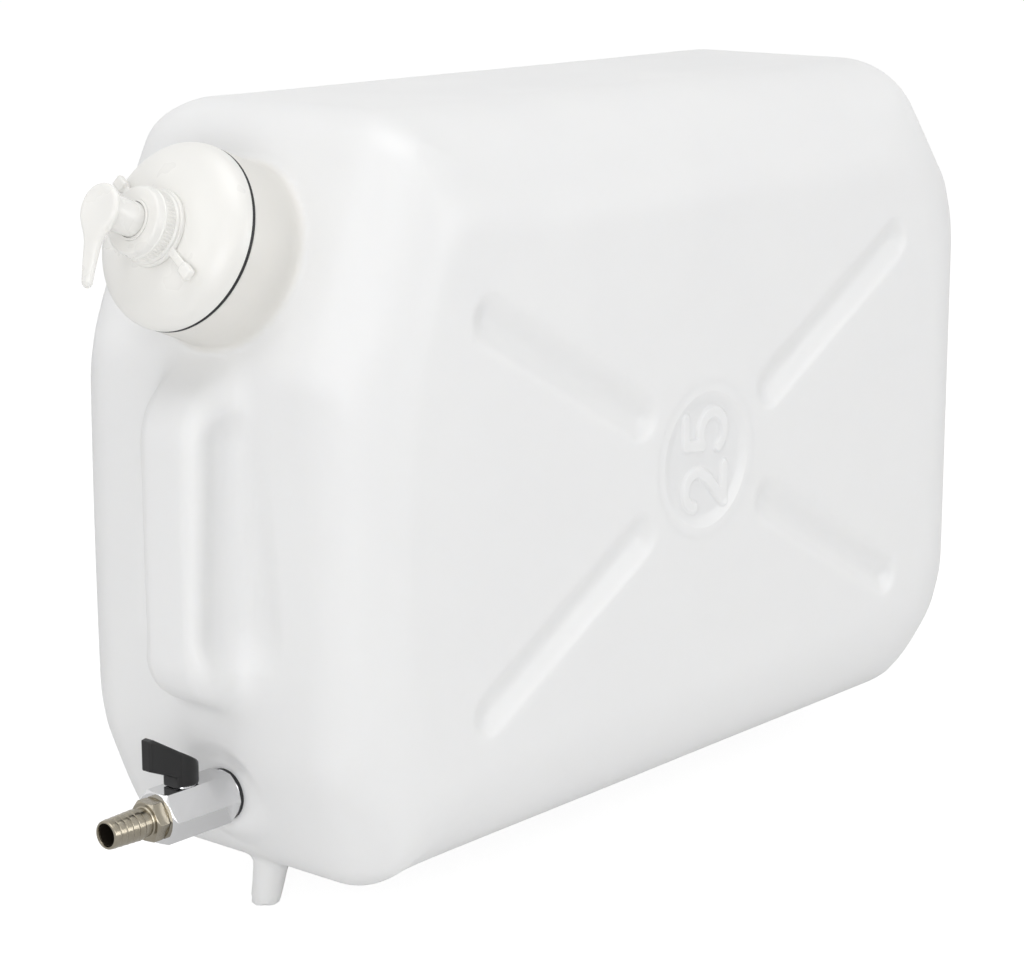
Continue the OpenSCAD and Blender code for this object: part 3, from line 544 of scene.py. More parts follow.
def smooth_by_field(mesh: bpy.types.Mesh, form: Field, near: float = 0.12) -> None:
    """Gives the faces that lie on a field's zero surface the field's own normals, and leaves the rest.

    Args:
        mesh: The finished mesh, in metres.
        form: Distance in mm, negative inside, of points in rows.
        near: How far off the surface, in mm, a face's corners may lie.
    """
    points = np.empty(len(mesh.vertices) * 3)
    mesh.vertices.foreach_get("co", points)
    points = points.reshape(-1, 3) / MM
    slope = gradient(form, points)
    slope /= np.maximum(np.linalg.norm(slope, axis=1, keepdims=True), 1e-9)
    on_skin = np.abs(form(points)) < near
    corners = np.empty(len(mesh.loops), int)
    mesh.loops.foreach_get("vertex_index", corners)
    counts = np.empty(len(mesh.polygons), int)
    mesh.polygons.foreach_get("loop_total", counts)
    facing = np.empty(len(mesh.polygons) * 3)
    mesh.polygons.foreach_get("normal", facing)
    face = np.repeat(np.arange(len(counts)), counts)
    alike = (facing.reshape(-1, 3)[face] * slope[corners]).sum(1) > 0.7
    fits = np.bincount(face, weights=~(on_skin[corners] & alike), minlength=len(counts)) == 0
    mesh.normals_split_custom_set(np.where(fits[face][:, None], slope[corners], 0.0).tolist())


def settle(form: Field, points: np.ndarray, reach: float) -> np.ndarray:
    """Moves points onto the zero surface of a field by one Newton step along its gradient.

    Args:
        form: Distance in mm, negative inside, of points in rows.
        points: The points, in mm.
        reach: Twice the longest way, in mm, that a point may move.

    Returns:
        The moved points.
    """
    here = form(points)
    slope = gradient(form, points)
    size = np.maximum((slope ** 2).sum(1), 0.2)
    move = -(here / size)[:, None] * slope
    length = np.linalg.norm(move, axis=1, keepdims=True)
    return points + move * np.minimum(1.0, 0.5 * reach / np.maximum(length, 1e-9))


# Distance fields.


def join(a: np.ndarray, b: np.ndarray, soft: float) -> np.ndarray:
    """Union of two fields with a fillet: the smaller one, less a parabola where they are close."""
    near = np.maximum(soft - np.abs(a - b), 0.0) / soft
    return np.minimum(a, b) - near ** 2 * soft / 4


def cut(a: np.ndarray, b: np.ndarray, soft: float) -> np.ndarray:
    """Field a with field b taken out, and the edge rounded over."""
    return -join(-a, b, soft)


def meet(a: np.ndarray, b: np.ndarray, soft: float) -> np.ndarray:
    """Intersection of two fields with a rounded edge."""
    return -join(-a, -b, soft)


def capsule(points: np.ndarray, start: np.ndarray, end: np.ndarray, radius: float) -> np.ndarray:
    """Distance to a round-ended bar: to the nearest point of its middle line, less its radius.

    Args:
        points: Points in rows.
        start: One end of the middle line.
        end: The other end.
        radius: The bar's radius.

    Returns:
        The distances, negative inside.
    """
    along = end - start
    share = np.clip((points - start) @ along / (along @ along), 0, 1)
    return np.linalg.norm(points - start - share[:, None] * along, axis=1) - radius


def pillar(points: np.ndarray, base: float, top: float, radius: float, soft: float) -> np.ndarray:
    """Distance to a cylinder about the z axis with rounded edges.

    Args:
        points: Points in rows.
        base: Height of its lower end.
        top: Height of its upper end.
        radius: The cylinder's radius.
        soft: Radius of its edges.

    Returns:
        The distances, negative inside.
    """
    side = np.hypot(points[:, 0], points[:, 1]) - radius + soft
    ends = np.abs(points[:, 2] - (base + top) / 2) - (top - base) / 2 + soft
    return (np.minimum(np.maximum(side, ends), 0)
            + np.hypot(np.maximum(side, 0), np.maximum(ends, 0)) - soft)


def taper(across: np.ndarray, along: np.ndarray, wide: float, narrow: float, length: float) -> np.ndarray:
    """Distance in a plane to the hull of two circles: a wide one at 0 and a narrow one at length.

    Args:
        across: Place across the middle line.
        along: Place along the middle line.
        wide: Radius of the circle at 0.
        narrow: Radius of the circle at length.
        length: Distance between the two middles.

    Returns:
        The distances, negative inside.
    """
    sine = (wide - narrow) / length
    cosine = math.sqrt(1 - sine ** 2)
    across = np.abs(across)
    place = along * cosine - across * sine
    flank = across * cosine + along * sine - wide
    root = np.hypot(across, along) - wide
    end = np.hypot(across, along - length) - narrow
    return np.where(place < 0, root, np.where(place > cosine * length, end, flank))


def block(points: np.ndarray, centre: Sequence[float], half: Sequence[float], soft: float) -> np.ndarray:
    """Distance to a box with rounded edges."""
    over = np.abs(points - np.asarray(centre)) - np.asarray(half) + soft
    return np.minimum(over.max(1), 0) + np.linalg.norm(np.maximum(over, 0), axis=1) - soft


def polygon(points: np.ndarray, corners: np.ndarray) -> np.ndarray:
    """Signed distance in a plane to a simple polygon: the nearest side, negative inside.

    Args:
        points: Points of the plane in rows.
        corners: The polygon's corners in order.

    Returns:
        The distances, negative inside.
    """
    nearest = np.full(len(points), 1e9)
    inside = np.zeros(len(points), bool)
    for start, end in zip(corners, np.roll(corners, -1, 0)):
        along = end - start
        share = np.clip((points - start) @ along / (along @ along), 0, 1)
        nearest = np.minimum(nearest, np.linalg.norm(points - start - share[:, None] * along, axis=1))
        above = (start[1] > points[:, 1]) != (end[1] > points[:, 1])
        reach = start[0] + (points[:, 1] - start[1]) * along[0] / (along[1] if along[1] else 1e-9)
        inside ^= above & (points[:, 0] < reach)
    return np.where(inside, -nearest, nearest)


# The two working axes.


@dataclass(frozen=True)
class Axis:
    """A working axis: where its own z starts and how its own x, y and z lie in the part."""

    origin: tuple[float, float, float]
    rows: tuple[tuple[float, float, float], ...]

    def place(self, points: np.ndarray) -> np.ndarray:
        """Carries points from the axis's own frame to the part's frame."""
        return points @ np.array(self.rows) + np.array(self.origin)

    def local(self, points: np.ndarray) -> np.ndarray:
        """Carries points from the part's frame to the axis's own frame."""
        return (points - np.array(self.origin)) @ np.array(self.rows).T


TILT = math.radians(21.0)
FRONT, REAR, HEIGHT, HALF = -245.0, 245.0, 340.0, 92.0
# The sloping front edge starts at this height; the neck's rim lies so far up along it and out from it.
SLOPE_START = HEIGHT - 108.0
NECK_ALONG, NECK_OUT = 48.5, 28.5
RIM = (0.0, FRONT + NECK_ALONG * math.sin(TILT) - NECK_OUT * math.cos(TILT),
       SLOPE_START + NECK_ALONG * math.cos(TILT) + NECK_OUT * math.sin(TILT))
LID_AXIS = Axis(RIM, ((1.0, 0.0, 0.0), (0.0, math.sin(TILT), math.cos(TILT)),
                      (0.0, -math.cos(TILT), math.sin(TILT))))
VALVE_AXIS = Axis((0.0, FRONT + 7.5, 39.0), ((1.0, 0.0, 0.0), (0.0, 0.0, 1.0), (0.0, -1.0, 0.0)))


# The tank.


@dataclass
class Canister:
    """The blown tank: eight-sided outline, elliptical edges, grip, neck, grooves, disc, foot and pad."""

    corner_radii: tuple[float, ...] = (24, 45, 29, 36, 42, 26, 40, 45)
    edge_widths: tuple[float, ...] = (56, 56, 56, 56, 56, 35, 31, 35)
    edge_depths: tuple[float, ...] = (49, 49, 49, 49, 49, 35, 31, 35)
    wall: float = 2.5
    seam: float = 0.3
    disc_centre: tuple[float, float] = (FRONT + 238.5, 164.0)
    disc_radius: float = 33.5
    disc_depth: float = 1.8
    groove_bar: float = 9.34
    groove_depth: float = 4.2
    groove_reach: tuple[float, float] = (58.0, 180.0)
    groove_deg: float = 29.0
    grip_reach: float = 25.0
    grip_half: float = 20.5
    grip_edge: float = 12.0
    grip_high: tuple[float, float] = (199.5, 33.625)
    grip_low: tuple[float, float] = (106.5, 22.625)
    foot_out: float = 36.5
    foot_radius: float = 8.9
    foot_low: float = -18.8
    foot_lean_deg: float = 14.0
    neck_radius: float = 40.4
    tap_bore: float = 10.5
    skin_cell: float = 3.1
    inside_cell: float = 7.0
    disc_steps: int = 216
    outline: np.ndarray = field(default_factory=lambda: np.array([
        [FRONT + 23, 0], [REAR - 48, 0], [REAR, 42], [REAR, HEIGHT - 68], [REAR - 57, HEIGHT],
        [FRONT + (HEIGHT - SLOPE_START) * math.tan(TILT), HEIGHT], [FRONT, SLOPE_START], [FRONT, 61]]))

    def normals(self) -> np.ndarray:
        """Outward normals of the outline's eight edges."""
        step = np.roll(self.outline, -1, 0) - self.outline
        return np.stack([step[:, 1], -step[:, 0]], -1) / np.linalg.norm(step, axis=1)[:, None]

    def depth(self, plan: np.ndarray) -> tuple[np.ndarray, np.ndarray]:
        """Signed distance to the outline with its round corners, and to each straight edge.

        Outside a corner's two tangent points the largest edge distance counts, and between them the
        distance to the corner's arc. Further in, a rounded maximum keeps the mitres soft.

        Args:
            plan: Points (y, z) in mm.

        Returns:
            The distance, negative inside, and the distances to the eight edges.
        """
        normals = self.normals()
        edges = plan @ normals.T - (self.outline * normals).sum(1)
        exact = edges.max(1)
        for k in range(8):
            before, after = normals[k - 1], normals[k]
            radius = self.corner_radii[k]
            cross = before[0] * after[1] - before[1] * after[0]
            middle = self.outline[k] - radius * np.array([after[1] - before[1], before[0] - after[0]]) / cross
            away = plan - middle
            first = (away[:, 0] * after[1] - away[:, 1] * after[0]) / cross
            second = (before[0] * away[:, 1] - before[1] * away[:, 0]) / cross
            other = np.delete(edges, [k - 1 if k else 7, k], axis=1).max(1)
            arc_depth = np.maximum(np.linalg.norm(away, axis=1) - radius, other)
            exact = np.where((first > 0) & (second > 0), arc_depth, exact)
        soft = 0.01 + 22.0 * np.clip(-edges.max(1) / 30.0, 0, 1)
        eased = edges[:, 0]
        for k in range(1, 8):
            near = np.maximum(soft - np.abs(eased - edges[:, k]), 0) / soft
            eased = np.maximum(eased, edges[:, k]) + near ** 2 * soft / 4
        return np.maximum(exact, eased), edges

    def hull(self, points: np.ndarray) -> np.ndarray:
        """Distance to the plain body.

        With u the share of the edge's depth that a point lies out in x, and v the share of the edge's
        width that it lies out towards the outline, the skin is where u squared plus v squared is one.
        The value is divided by its own slope, so that it reads in mm near the skin.

        Args:
            points: Points in rows, in mm.

        Returns:
            The distances, negative inside.
        """
        depth, edges = self.depth(points[:, 1:])
        weight = np.exp((edges - edges.max(1, keepdims=True)) / 9.0)
        weight /= weight.sum(1, keepdims=True)
        width = weight @ np.array(self.edge_widths, float)
        deep = weight @ np.array(self.edge_depths, float)
        out = np.abs(points[:, 0])
        u = np.maximum(0, (out - HALF + deep) / deep)
        v = np.maximum(0, 1 + depth / width)
        size = np.maximum(np.hypot(u, v), 1e-6)
        slope = np.maximum(np.hypot(u / deep, v / width) / size, 1 / 60.0)
        return (size - 1) / slope

    def grip(self, points: np.ndarray) -> np.ndarray:
        """Distance to the grip: a bar with a round lobe at each end and round front edges.

        Args:
            points: Points in rows, in mm.

        Returns:
            The distances, negative inside.
        """
        out = FRONT - points[:, 1]
        height = points[:, 2]
        high, high_radius = self.grip_high
        low, low_radius = self.grip_low
        upper = np.hypot(out - (self.grip_reach - high_radius), height - high) - high_radius
        lower = np.hypot(out - (self.grip_reach - low_radius), height - low) - low_radius
        side = np.where(height > high, upper, np.where(height < low, lower, out - self.grip_reach))
        edge = self.grip_edge
        a = side + edge
        b = np.abs(points[:, 0]) - self.grip_half + edge
        bar = np.minimum(np.maximum(a, b), 0) + np.hypot(np.maximum(a, 0), np.maximum(b, 0)) - edge
        return np.maximum(bar, points[:, 1] - FRONT - 45.0)

    def foot(self, points: np.ndarray) -> np.ndarray:
        """Distance to the foot: a leaning cone with a level, rounded tip.

        Args:
            points: Points in rows, in mm.

        Returns:
            The distances, negative inside.
        """
        lean = math.radians(self.foot_lean_deg)
        way = np.array([0.0, -math.sin(lean), -math.cos(lean)])
        away = points - np.array([0.0, FRONT + self.foot_out, 4.0])
        along = away @ way
        radial = np.linalg.norm(away - along[:, None] * way, axis=1)
        cone = radial - (self.foot_radius - (along + 6.0) * 2.7 / 33.0)
        cone = meet(cone, self.foot_low - points[:, 2], 1.6)
        return np.maximum(cone, points[:, 2] - 9.0)

    def scoop(self, half: np.ndarray) -> np.ndarray:
        """Distance to a finger scoop: a drop that is narrow at its top and round and wide below.

        Args:
            half: Points in rows, in mm, with x folded to the positive side.

        Returns:
            The distances, negative inside.
        """
        low = np.array([28.0, FRONT - 9.0, 119.0])
        high = np.array([26.0, FRONT - 9.0, 203.0])
        along = high - low
        share = np.clip((half - low) @ along / (along @ along), 0, 1)
        return np.linalg.norm(half - low - share[:, None] * along, axis=1) - (14.5 - 6.0 * share)

    def panel(self, points: np.ndarray) -> np.ndarray:
        """Distance to the plain body as it comes from the mould, a little inside the nominal skin."""
        return self.hull(points) + self.seam + 0.25 * self.relief(points)

    def relief(self, points: np.ndarray) -> np.ndarray:
        """Slow waviness of the blown panels, from 0 to about 0.7 mm inwards."""
        return 0.35 * (1 + 0.5 * np.sin(points[:, 1] / 61.0 + 0.7) * np.sin(points[:, 2] / 47.0)
                       + 0.5 * np.sin(points[:, 1] / 33.0 - points[:, 2] / 52.0))

    def skin(self, points: np.ndarray) -> np.ndarray:
        """Distance to the tank's outer skin with all that is blown in one piece with it.

        Args:
            points: Points in rows, in mm.

        Returns:
            The distances, negative inside.
        """
        half = np.column_stack([np.abs(points[:, 0]), points[:, 1:]])
        tap = VALVE_AXIS.local(points)
        reach = np.hypot(tap[:, 0], tap[:, 1])
        flat = fade(reach, 27.0, 12.5) * fade(tap[:, 2], -40.0, -20.0)
        form = (1 - flat) * self.panel(points) + flat * tap[:, 2]
        form = join(form, self.grip(points) + self.seam, 13.0)
        form = cut(form, self.scoop(half), 8.0)
        axis = HALF + self.groove_bar - self.groove_depth
        for angle in np.radians([self.groove_deg, 180 - self.groove_deg,
                                 180 + self.groove_deg, -self.groove_deg]):
            way = np.array([0.0, math.cos(angle), math.sin(angle)])
            middle = np.array([axis, *self.disc_centre])
            form = cut(form, capsule(half, middle + self.groove_reach[0] * way,
                                     middle + self.groove_reach[1] * way, self.groove_bar), 5.0)
        disc = np.hypot(points[:, 1] - self.disc_centre[0], points[:, 2] - self.disc_centre[1])
        form = cut(form, np.maximum(disc - self.disc_radius - 1.5, HALF - 3.0 - half[:, 0]), 0.5)
        lid = LID_AXIS.local(points)
        flare = 0.2 * np.clip((-16.0 - lid[:, 2]) / 3.0, -1, 1)
        tube = np.hypot(lid[:, 0], lid[:, 1]) - self.neck_radius - flare
        form = join(form, np.maximum(tube, np.abs(lid[:, 2] + 27) - 17.0), 5.0)
        return join(form, self.foot(points), 4.0)

    def hollow(self, points: np.ndarray) -> np.ndarray:
        """Distance to the space inside: the skin moved in by the wall, with a thicker pad at the valve.

        Args:
            points: Points in rows, in mm.

        Returns:
            The distances, negative in the space.
        """
        tap = VALVE_AXIS.local(points)
        reach = np.hypot(tap[:, 0], tap[:, 1])
        form = np.maximum(self.skin(points) + self.wall, -np.maximum(reach - 20.2, -tap[:, 2] - 4.0))
        return np.minimum(form, np.maximum(reach - 14.7, np.abs(tap[:, 2] + 17) - 13.0))

    def bore(self) -> Net:
        """The neck's bore as a plug with the thread's crests on it, in the lid's frame.

        Returns:
            Points in mm and quads.
        """
        profile = np.vstack([[[0.01, -44.0]], resample([(36.0, -44.0), (36.0, 1.0)], 0.5), [[0.01, 1.0]]])
        return revolve(profile, 192, lambda a, r, z: np.where(
            (r > 30) & (z > -22) & (z < -2), thread(a, z, 4.0, 1.3), 0.0))

    def build(self) -> bpy.types.Object:
        """Builds the hollow tank: skin and neck joined, then hollow, bore and valve hole taken out.

        Returns:
            The tank's shell.
        """
        box = (-HALF, FRONT - 26, -20), (HALF, REAR, HEIGHT)
        skin = plain_object("skin", *net(self.skin, *box, self.skin_cell))
        inside = plain_object("inside", *net(self.hollow, *box, self.inside_cell))
        neck = self.neck_radius
        sleeve = revolve(np.array([[0.01, -24.0], [neck, -24.0], [neck, -0.6], [neck - 0.6, 0.0],
                                   [0.01, 0.0]]), 192)
        bore = self.bore()
        hole = revolve(np.array([[0.01, -30.0], [self.tap_bore, -30.0], [self.tap_bore, 6.0],
                                 [0.01, 6.0]]), 64)
        combine(skin, plain_object("sleeve", LID_AXIS.place(sleeve[0]), sleeve[1]), "UNION")
        combine(skin, inside, "DIFFERENCE")
        combine(skin, plain_object("bore", LID_AXIS.place(bore[0]), bore[1]), "DIFFERENCE")
        combine(skin, plain_object("hole", VALVE_AXIS.place(hole[0]), hole[1]), "DIFFERENCE")
        mesh = skin.data
        bpy.data.objects.remove(skin)
        mesh.name = "tank_shell"
        shell = adopt("tank_shell", mesh, HDPE, "tank", Slot.HDPE, ("tank",), 40.0)
        smooth_by_field(mesh, self.skin)
        return shell

    def disc(self, side: int) -> bpy.types.Object:
        """Builds the number disc of one broad side, a dish whose rim runs out flush with the panel.

        Args:
            side: 1 for the side with numerals, at positive x, and -1 for the plain one.

        Returns:
            The disc.
        """
        steps = self.disc_steps
        middle_y, middle_z = self.disc_centre
        back = HALF - 3.4
        radii = np.concatenate([np.linspace(0.4, 26.0, 44), np.linspace(26.5, 35.0, 24),
                                np.linspace(36.0, 41.0, 6)])
        angle = np.linspace(0, 2 * np.pi, steps, endpoint=False)
        r, a = np.meshgrid(radii, angle, indexing="ij")
        y = r * np.cos(a)
        z = r * np.sin(a)
        level = -self.disc_depth * (1 - fade(r, 26.0, 34.2)) + 0.05 - 0.2 * np.clip((r - 36.5) / 4.5, 0, 1)
        if side > 0:
            level = level + numerals(z, -y)
        place = np.column_stack([0 * y.ravel(), middle_y + y.ravel(), middle_z + z.ravel()])
        level = level - self.seam - 0.25 * self.relief(place).reshape(y.shape)
        top = np.column_stack([(HALF + level).ravel(), place[:, 1:]])
        base = top[-steps:].copy()
        base[:, 0] = back
        ends = np.array([[HALF + level[0].mean(), middle_y, middle_z], [back, middle_y, middle_z]])
        points = np.vstack([top, base, ends])
        faces = [list(f) for f in ring_faces(len(radii) + 1, steps, False)]
        front, rear = len(points) - 2, len(points) - 1
        start = len(radii) * steps
        faces += [[front, (k + 1) % steps, k] for k in range(steps)]
        faces += [[rear, start + k, start + (k + 1) % steps] for k in range(steps)]
        if side < 0:
            points[:, 0] *= -1
        else:
            faces = [f[::-1] for f in faces]
        name = "number_disc" if side > 0 else "plain_disc"
        disc = add_piece(name, points, faces, HDPE, "tank", Slot.HDPE, (), 60.0)
        smooth_by_field(disc.data, self.panel)
        return disc


def thread(angle: np.ndarray, height: np.ndarray, pitch: float, rise: float) -> np.ndarray:
    """Height of a round-topped thread: a raised cosine of height less pitch times angle over one turn."""
    phase = height / pitch - angle / (2 * np.pi)
    return rise * np.clip(0.5 + 0.9 * np.cos(2 * np.pi * phase), 0, 1)


def numerals(along: np.ndarray, up: np.ndarray) -> np.ndarray:
    """Raised generic numerals, the capacity in litres, as strokes of even width.

    The height is a smooth step of the distance to the nearest stroke, full inside the stroke's width.

    Args:
        along: Place along the line of writing, in mm from the disc's middle.
        up: Place up the numerals, in mm from the disc's middle.

    Returns:
        The added height in mm.
    """
    two = [*[(-13.8 + 8.4 * math.cos(t), 6.6 + 8.8 * math.sin(t)) for t in np.linspace(2.95, -0.3, 14)],
           (-9.6, -2.6), (-22.0, -15.2), (-5.2, -15.2)]
    five = [(21.2, 15.4), (8.6, 15.4), (6.8, 2.4),
            *[(12.8 + 9.2 * math.cos(t), -5.6 + 9.6 * math.sin(t)) for t in np.linspace(2.2, -2.6, 18)]]
    place = np.stack([along.ravel(), up.ravel()], -1)
    nearest = np.full(len(place), 1e9)
    for stroke in (two, five):
        dots = np.array(stroke)
        for start, end in zip(dots[:-1], dots[1:]):
            way = end - start
            share = np.clip((place - start) @ way / (way @ way), 0, 1)
            nearest = np.minimum(nearest, np.linalg.norm(place - start - share[:, None] * way, axis=1))
    return 1.2 * fade(nearest, 3.6, 2.2).reshape(along.shape)


def plain_object(name: str, points: np.ndarray, faces: np.ndarray) -> bpy.types.Object:
    """Makes a bare scene object from points in mm, for use in a boolean operation.

    Args:
        name: The object's name.
        points: Vertices in mm, one row each.
        faces: Index rows.

    Returns:
        The new object.
    """
    mesh = bpy.data.meshes.new(name)
    mesh.from_pydata((np.asarray(points) * MM).tolist(), [], [list(map(int, f)) for f in faces])
    tool = bpy.data.objects.new(name, mesh)
    bpy.context.scene.collection.objects.link(tool)
    return tool


def combine(target: bpy.types.Object, tool: bpy.types.Object, operation: str) -> None:
    """Joins a tool to a target, or takes it out, and removes the tool.

    Args:
        target: The object whose mesh is renewed.
        tool: The closed object that is joined or taken out.
        operation: UNION or DIFFERENCE.
    """
    modifier = target.modifiers.new("combine", "BOOLEAN")
    modifier.operation = operation
    modifier.solver = "MANIFOLD"
    modifier.object = tool
    bpy.context.view_layer.update()
    evaluated = target.evaluated_get(bpy.context.evaluated_depsgraph_get())
    mesh = bpy.data.meshes.new_from_object(evaluated)
    target.modifiers.clear()
    target.data = mesh
    bpy.data.objects.remove(tool)


# Lid and pump.


@dataclass
class LidAndPump:
    """The screw lid with its thread, the wing ring, and the pump's closure and head."""

    lid_radius: float = 40.6
    lid_low: float = 1.4
    lid_top: float = 16.4
    lid_bore: float = 13.7
    plug_radius: float = 35.65
    plug_low: float = -17.0
    wall: float = 2.4
    boss: float = 17.0
    wing_deg: float = -33.0
    ring_radius: float = 16.8
    collar_radius: float = 15.4
    collar_bore: float = 13.55
    guide_bore: float = 9.06
    wing_top: float = 18.6
    collar_top: float = 30.2
    ribs: int = 60
    pad_radius: float = 10.4
    spout_radius: float = 2.7
    spout_reach: float = 33.4
    pad_middle: float = 48.75
    spout_droop: float = 3.4
    skirt_radius: float = 7.5
    skirt_low: float = 27.6

    def dome(self) -> list[tuple[float, float]]:
        """Outer section of the lid: level in the middle, then a superellipse down to the rim.

        At the share s of the way out, the height left is (1 - s to the 1.8) to the power 1 / 2.4.

        Returns:
            Points (radius, height) from the lid's bore to its lower edge.
        """
        rim = self.lid_radius - 0.15
        span = rim - self.boss
        points = [(self.lid_bore, self.lid_top), (self.boss, self.lid_top)]
        for turn in np.linspace(0, math.pi / 2, 44)[1:]:
            share = math.sin(turn)
            drop = 1 - max(0.0, 1 - share ** 1.8) ** (1 / 2.4)
            points.append((self.boss + span * share,
                           self.lid_top - (self.lid_top - self.lid_low - 1.4) * drop))
        return points + [(rim, self.lid_low + 0.3), (rim - 0.3, self.lid_low)]

    def lid(self) -> bpy.types.Object:
        """Builds the lid: domed face, deep round edge, seam step over the gasket, threaded plug.

        Returns:
            The lid.
        """
        plug, low, under = self.plug_radius, self.plug_low, self.lid_top - self.wall
        inside = [(plug, self.lid_low), (plug, low + 1), (plug - 1, low), (plug - self.wall, low),
                  (plug - self.wall, 5.4), (27.6, 11.0), (17.6, under), (self.lid_bore, under),
                  (self.lid_bore, self.lid_top)]
        profile = resample((self.dome() + inside)[::-1], 0.8)[:-1]

        def swell(angle: np.ndarray, radius: np.ndarray, height: np.ndarray) -> np.ndarray:
            """The thread, cut into the plug's side between its two ends."""
            threaded = (np.abs(radius - plug) < 0.2) & (height < -1.5) & (height > low + 1.5)
            return np.where(threaded, thread(angle, height, 4.0, 1.2) - 1.2, 0.0)

        points, faces = revolve(profile, 240, swell)
        return add_piece("screw_lid", LID_AXIS.place(points), faces, POLYPROPYLENE, "lid",
                         Slot.WHITE, ("lid",))

    def wings(self) -> bpy.types.Object:
        """Builds the wing ring: a flat ring with two arms that end in thicker pads.

        Returns:
            The wing ring.
        """
        cosine, sine = math.cos(math.radians(self.wing_deg)), math.sin(math.radians(self.wing_deg))
        rows = np.array([[cosine, sine, 0], [-sine, cosine, 0], [0, 0, 1]])

        def form(points: np.ndarray) -> np.ndarray:
            """Distance to the ring and its arms.

            Args:
                points: Points in rows, in mm.

            Returns:
                The distances, negative inside.
            """
            own = points @ rows.T
            half = np.column_stack([np.abs(own[:, 0]), own[:, 1:]])
            ring = pillar(points, self.lid_top - 0.05, self.wing_top, self.ring_radius, 0.5)
            arm = block(half, (22.0, 0, self.lid_top + 1.05), (9.0, 1.8, 1.1), 0.6)
            pad = block(half, (30.0, 0, self.lid_top + 1.65), (3.4, 2.7, 1.7), 1.0)
            return cut(join(join(ring, arm, 1.0), pad, 1.2),
                       np.hypot(own[:, 0], own[:, 1]) - self.lid_bore, 0.3)

        points, faces = net(form, (-33.6, -33.6, self.lid_top - 0.2), (33.6, 33.6, self.lid_top + 3.4), 0.55)
        return add_piece("wing_ring_soft", LID_AXIS.place(points), faces, POLYPROPYLENE, "lid", Slot.WHITE,
                         ("wing_ring",), 50.0)

    def collar(self) -> bpy.types.Object:
        """Builds the closure: base flange, a band of fine ribs, a plain bead and a bevelled top.

        Returns:
            The closure.
        """
        r, top, bore = self.collar_radius, self.collar_top, self.collar_bore
        low, high = self.wing_top + 1.6, top - 4.9
        outline = [(bore, self.wing_top), (r + 0.4, self.wing_top), (r + 0.6, self.wing_top + 0.3),
                   (r + 0.5, self.wing_top + 1.0), (r - 0.1, low), (r - 0.3, low + 0.2),
                   (r - 0.3, high - 0.1), (r + 0.05, high + 0.2), (r + 0.05, high + 0.9),
                   (r - 0.35, high + 1.3), (r - 0.75, top - 1.1), (r - 1.1, top - 0.4), (r - 1.7, top),
                   (self.guide_bore, top), (self.guide_bore, top - 1.8), (bore, top - 1.8),
                   (bore, self.wing_top)]
        profile = resample(outline, 0.4)[:-1]

        def ribs(angle: np.ndarray, radius: np.ndarray, height: np.ndarray) -> np.ndarray:
            """Fine ribs: a raised cosine round the band, faded at its two ends."""
            ends = np.clip((height - low) / 0.5, 0, 1) * np.clip((high - height) / 0.5, 0, 1)
            return 0.36 * ends * (radius > r - 0.5) * np.clip(0.4 + 0.8 * np.cos(self.ribs * angle), 0, 1)

        points, faces = revolve(profile, self.ribs * 8, ribs)
        return add_piece("closure_ribbed", LID_AXIS.place(points), faces, POLYPROPYLENE, "collar",
                         Slot.WHITE, ("pump_collar",))

    def head(self) -> bpy.types.Object:
        """Builds the head: a finger pad that flows into a drooping spout, over a round skirt.

        Returns:
            The head.
        """
        skirt_half = (48.4 - self.skirt_low) / 2

        def form(points: np.ndarray) -> np.ndarray:
            """Distance to the head.

            Args:
                points: Points in rows, in mm.

            Returns:
                The distances, negative inside.
            """
            x, y, z = points.T
            share = np.clip(-y / self.spout_reach, 0, 1)
            spout = taper(x, -y - 4.0, 5.6, self.spout_radius, 26.3)
            blade = join(np.hypot(x, y) - self.pad_radius, spout, 7.0)
            middle = self.pad_middle - self.spout_droop * share ** 1.8
            body = meet(blade, np.abs(z - middle) - (1.95 - 0.25 * share), 2.2)
            dish = np.linalg.norm(points - [0, 0.5, 50.7 + 42.6], axis=1) - 43.4
            body = cut(body, dish, 2.0)
            reach = np.hypot(x, y)
            skirt = np.maximum(np.maximum(reach - self.skirt_radius, self.skirt_radius - 1.0 - reach),
                               np.abs(z - self.skirt_low - skirt_half) - skirt_half)
            socket = np.maximum(np.maximum(reach - 4.3, 2.85 - reach), np.abs(z - 41.0) - 6.4)
            body = join(body, np.minimum(skirt, socket), 1.2)
            outlet = np.maximum(np.hypot(x, y + 29.4) - 1.3, np.abs(z - 41.0) - 4.0)
            return cut(body, outlet, 0.4)

        points, faces = net(form, (-10.9, -34.0, self.skirt_low - 0.2), (10.9, 10.9, 50.8), 0.5)
        return add_piece("head_spout", LID_AXIS.place(points), faces, POLYPROPYLENE, "head", Slot.WHITE,
                         ("pump_head",), 60.0)

    def build(self) -> None:
        """Builds the four pieces."""
        for make in (self.lid, self.wings, self.collar, self.head):
            make()


# The valve.


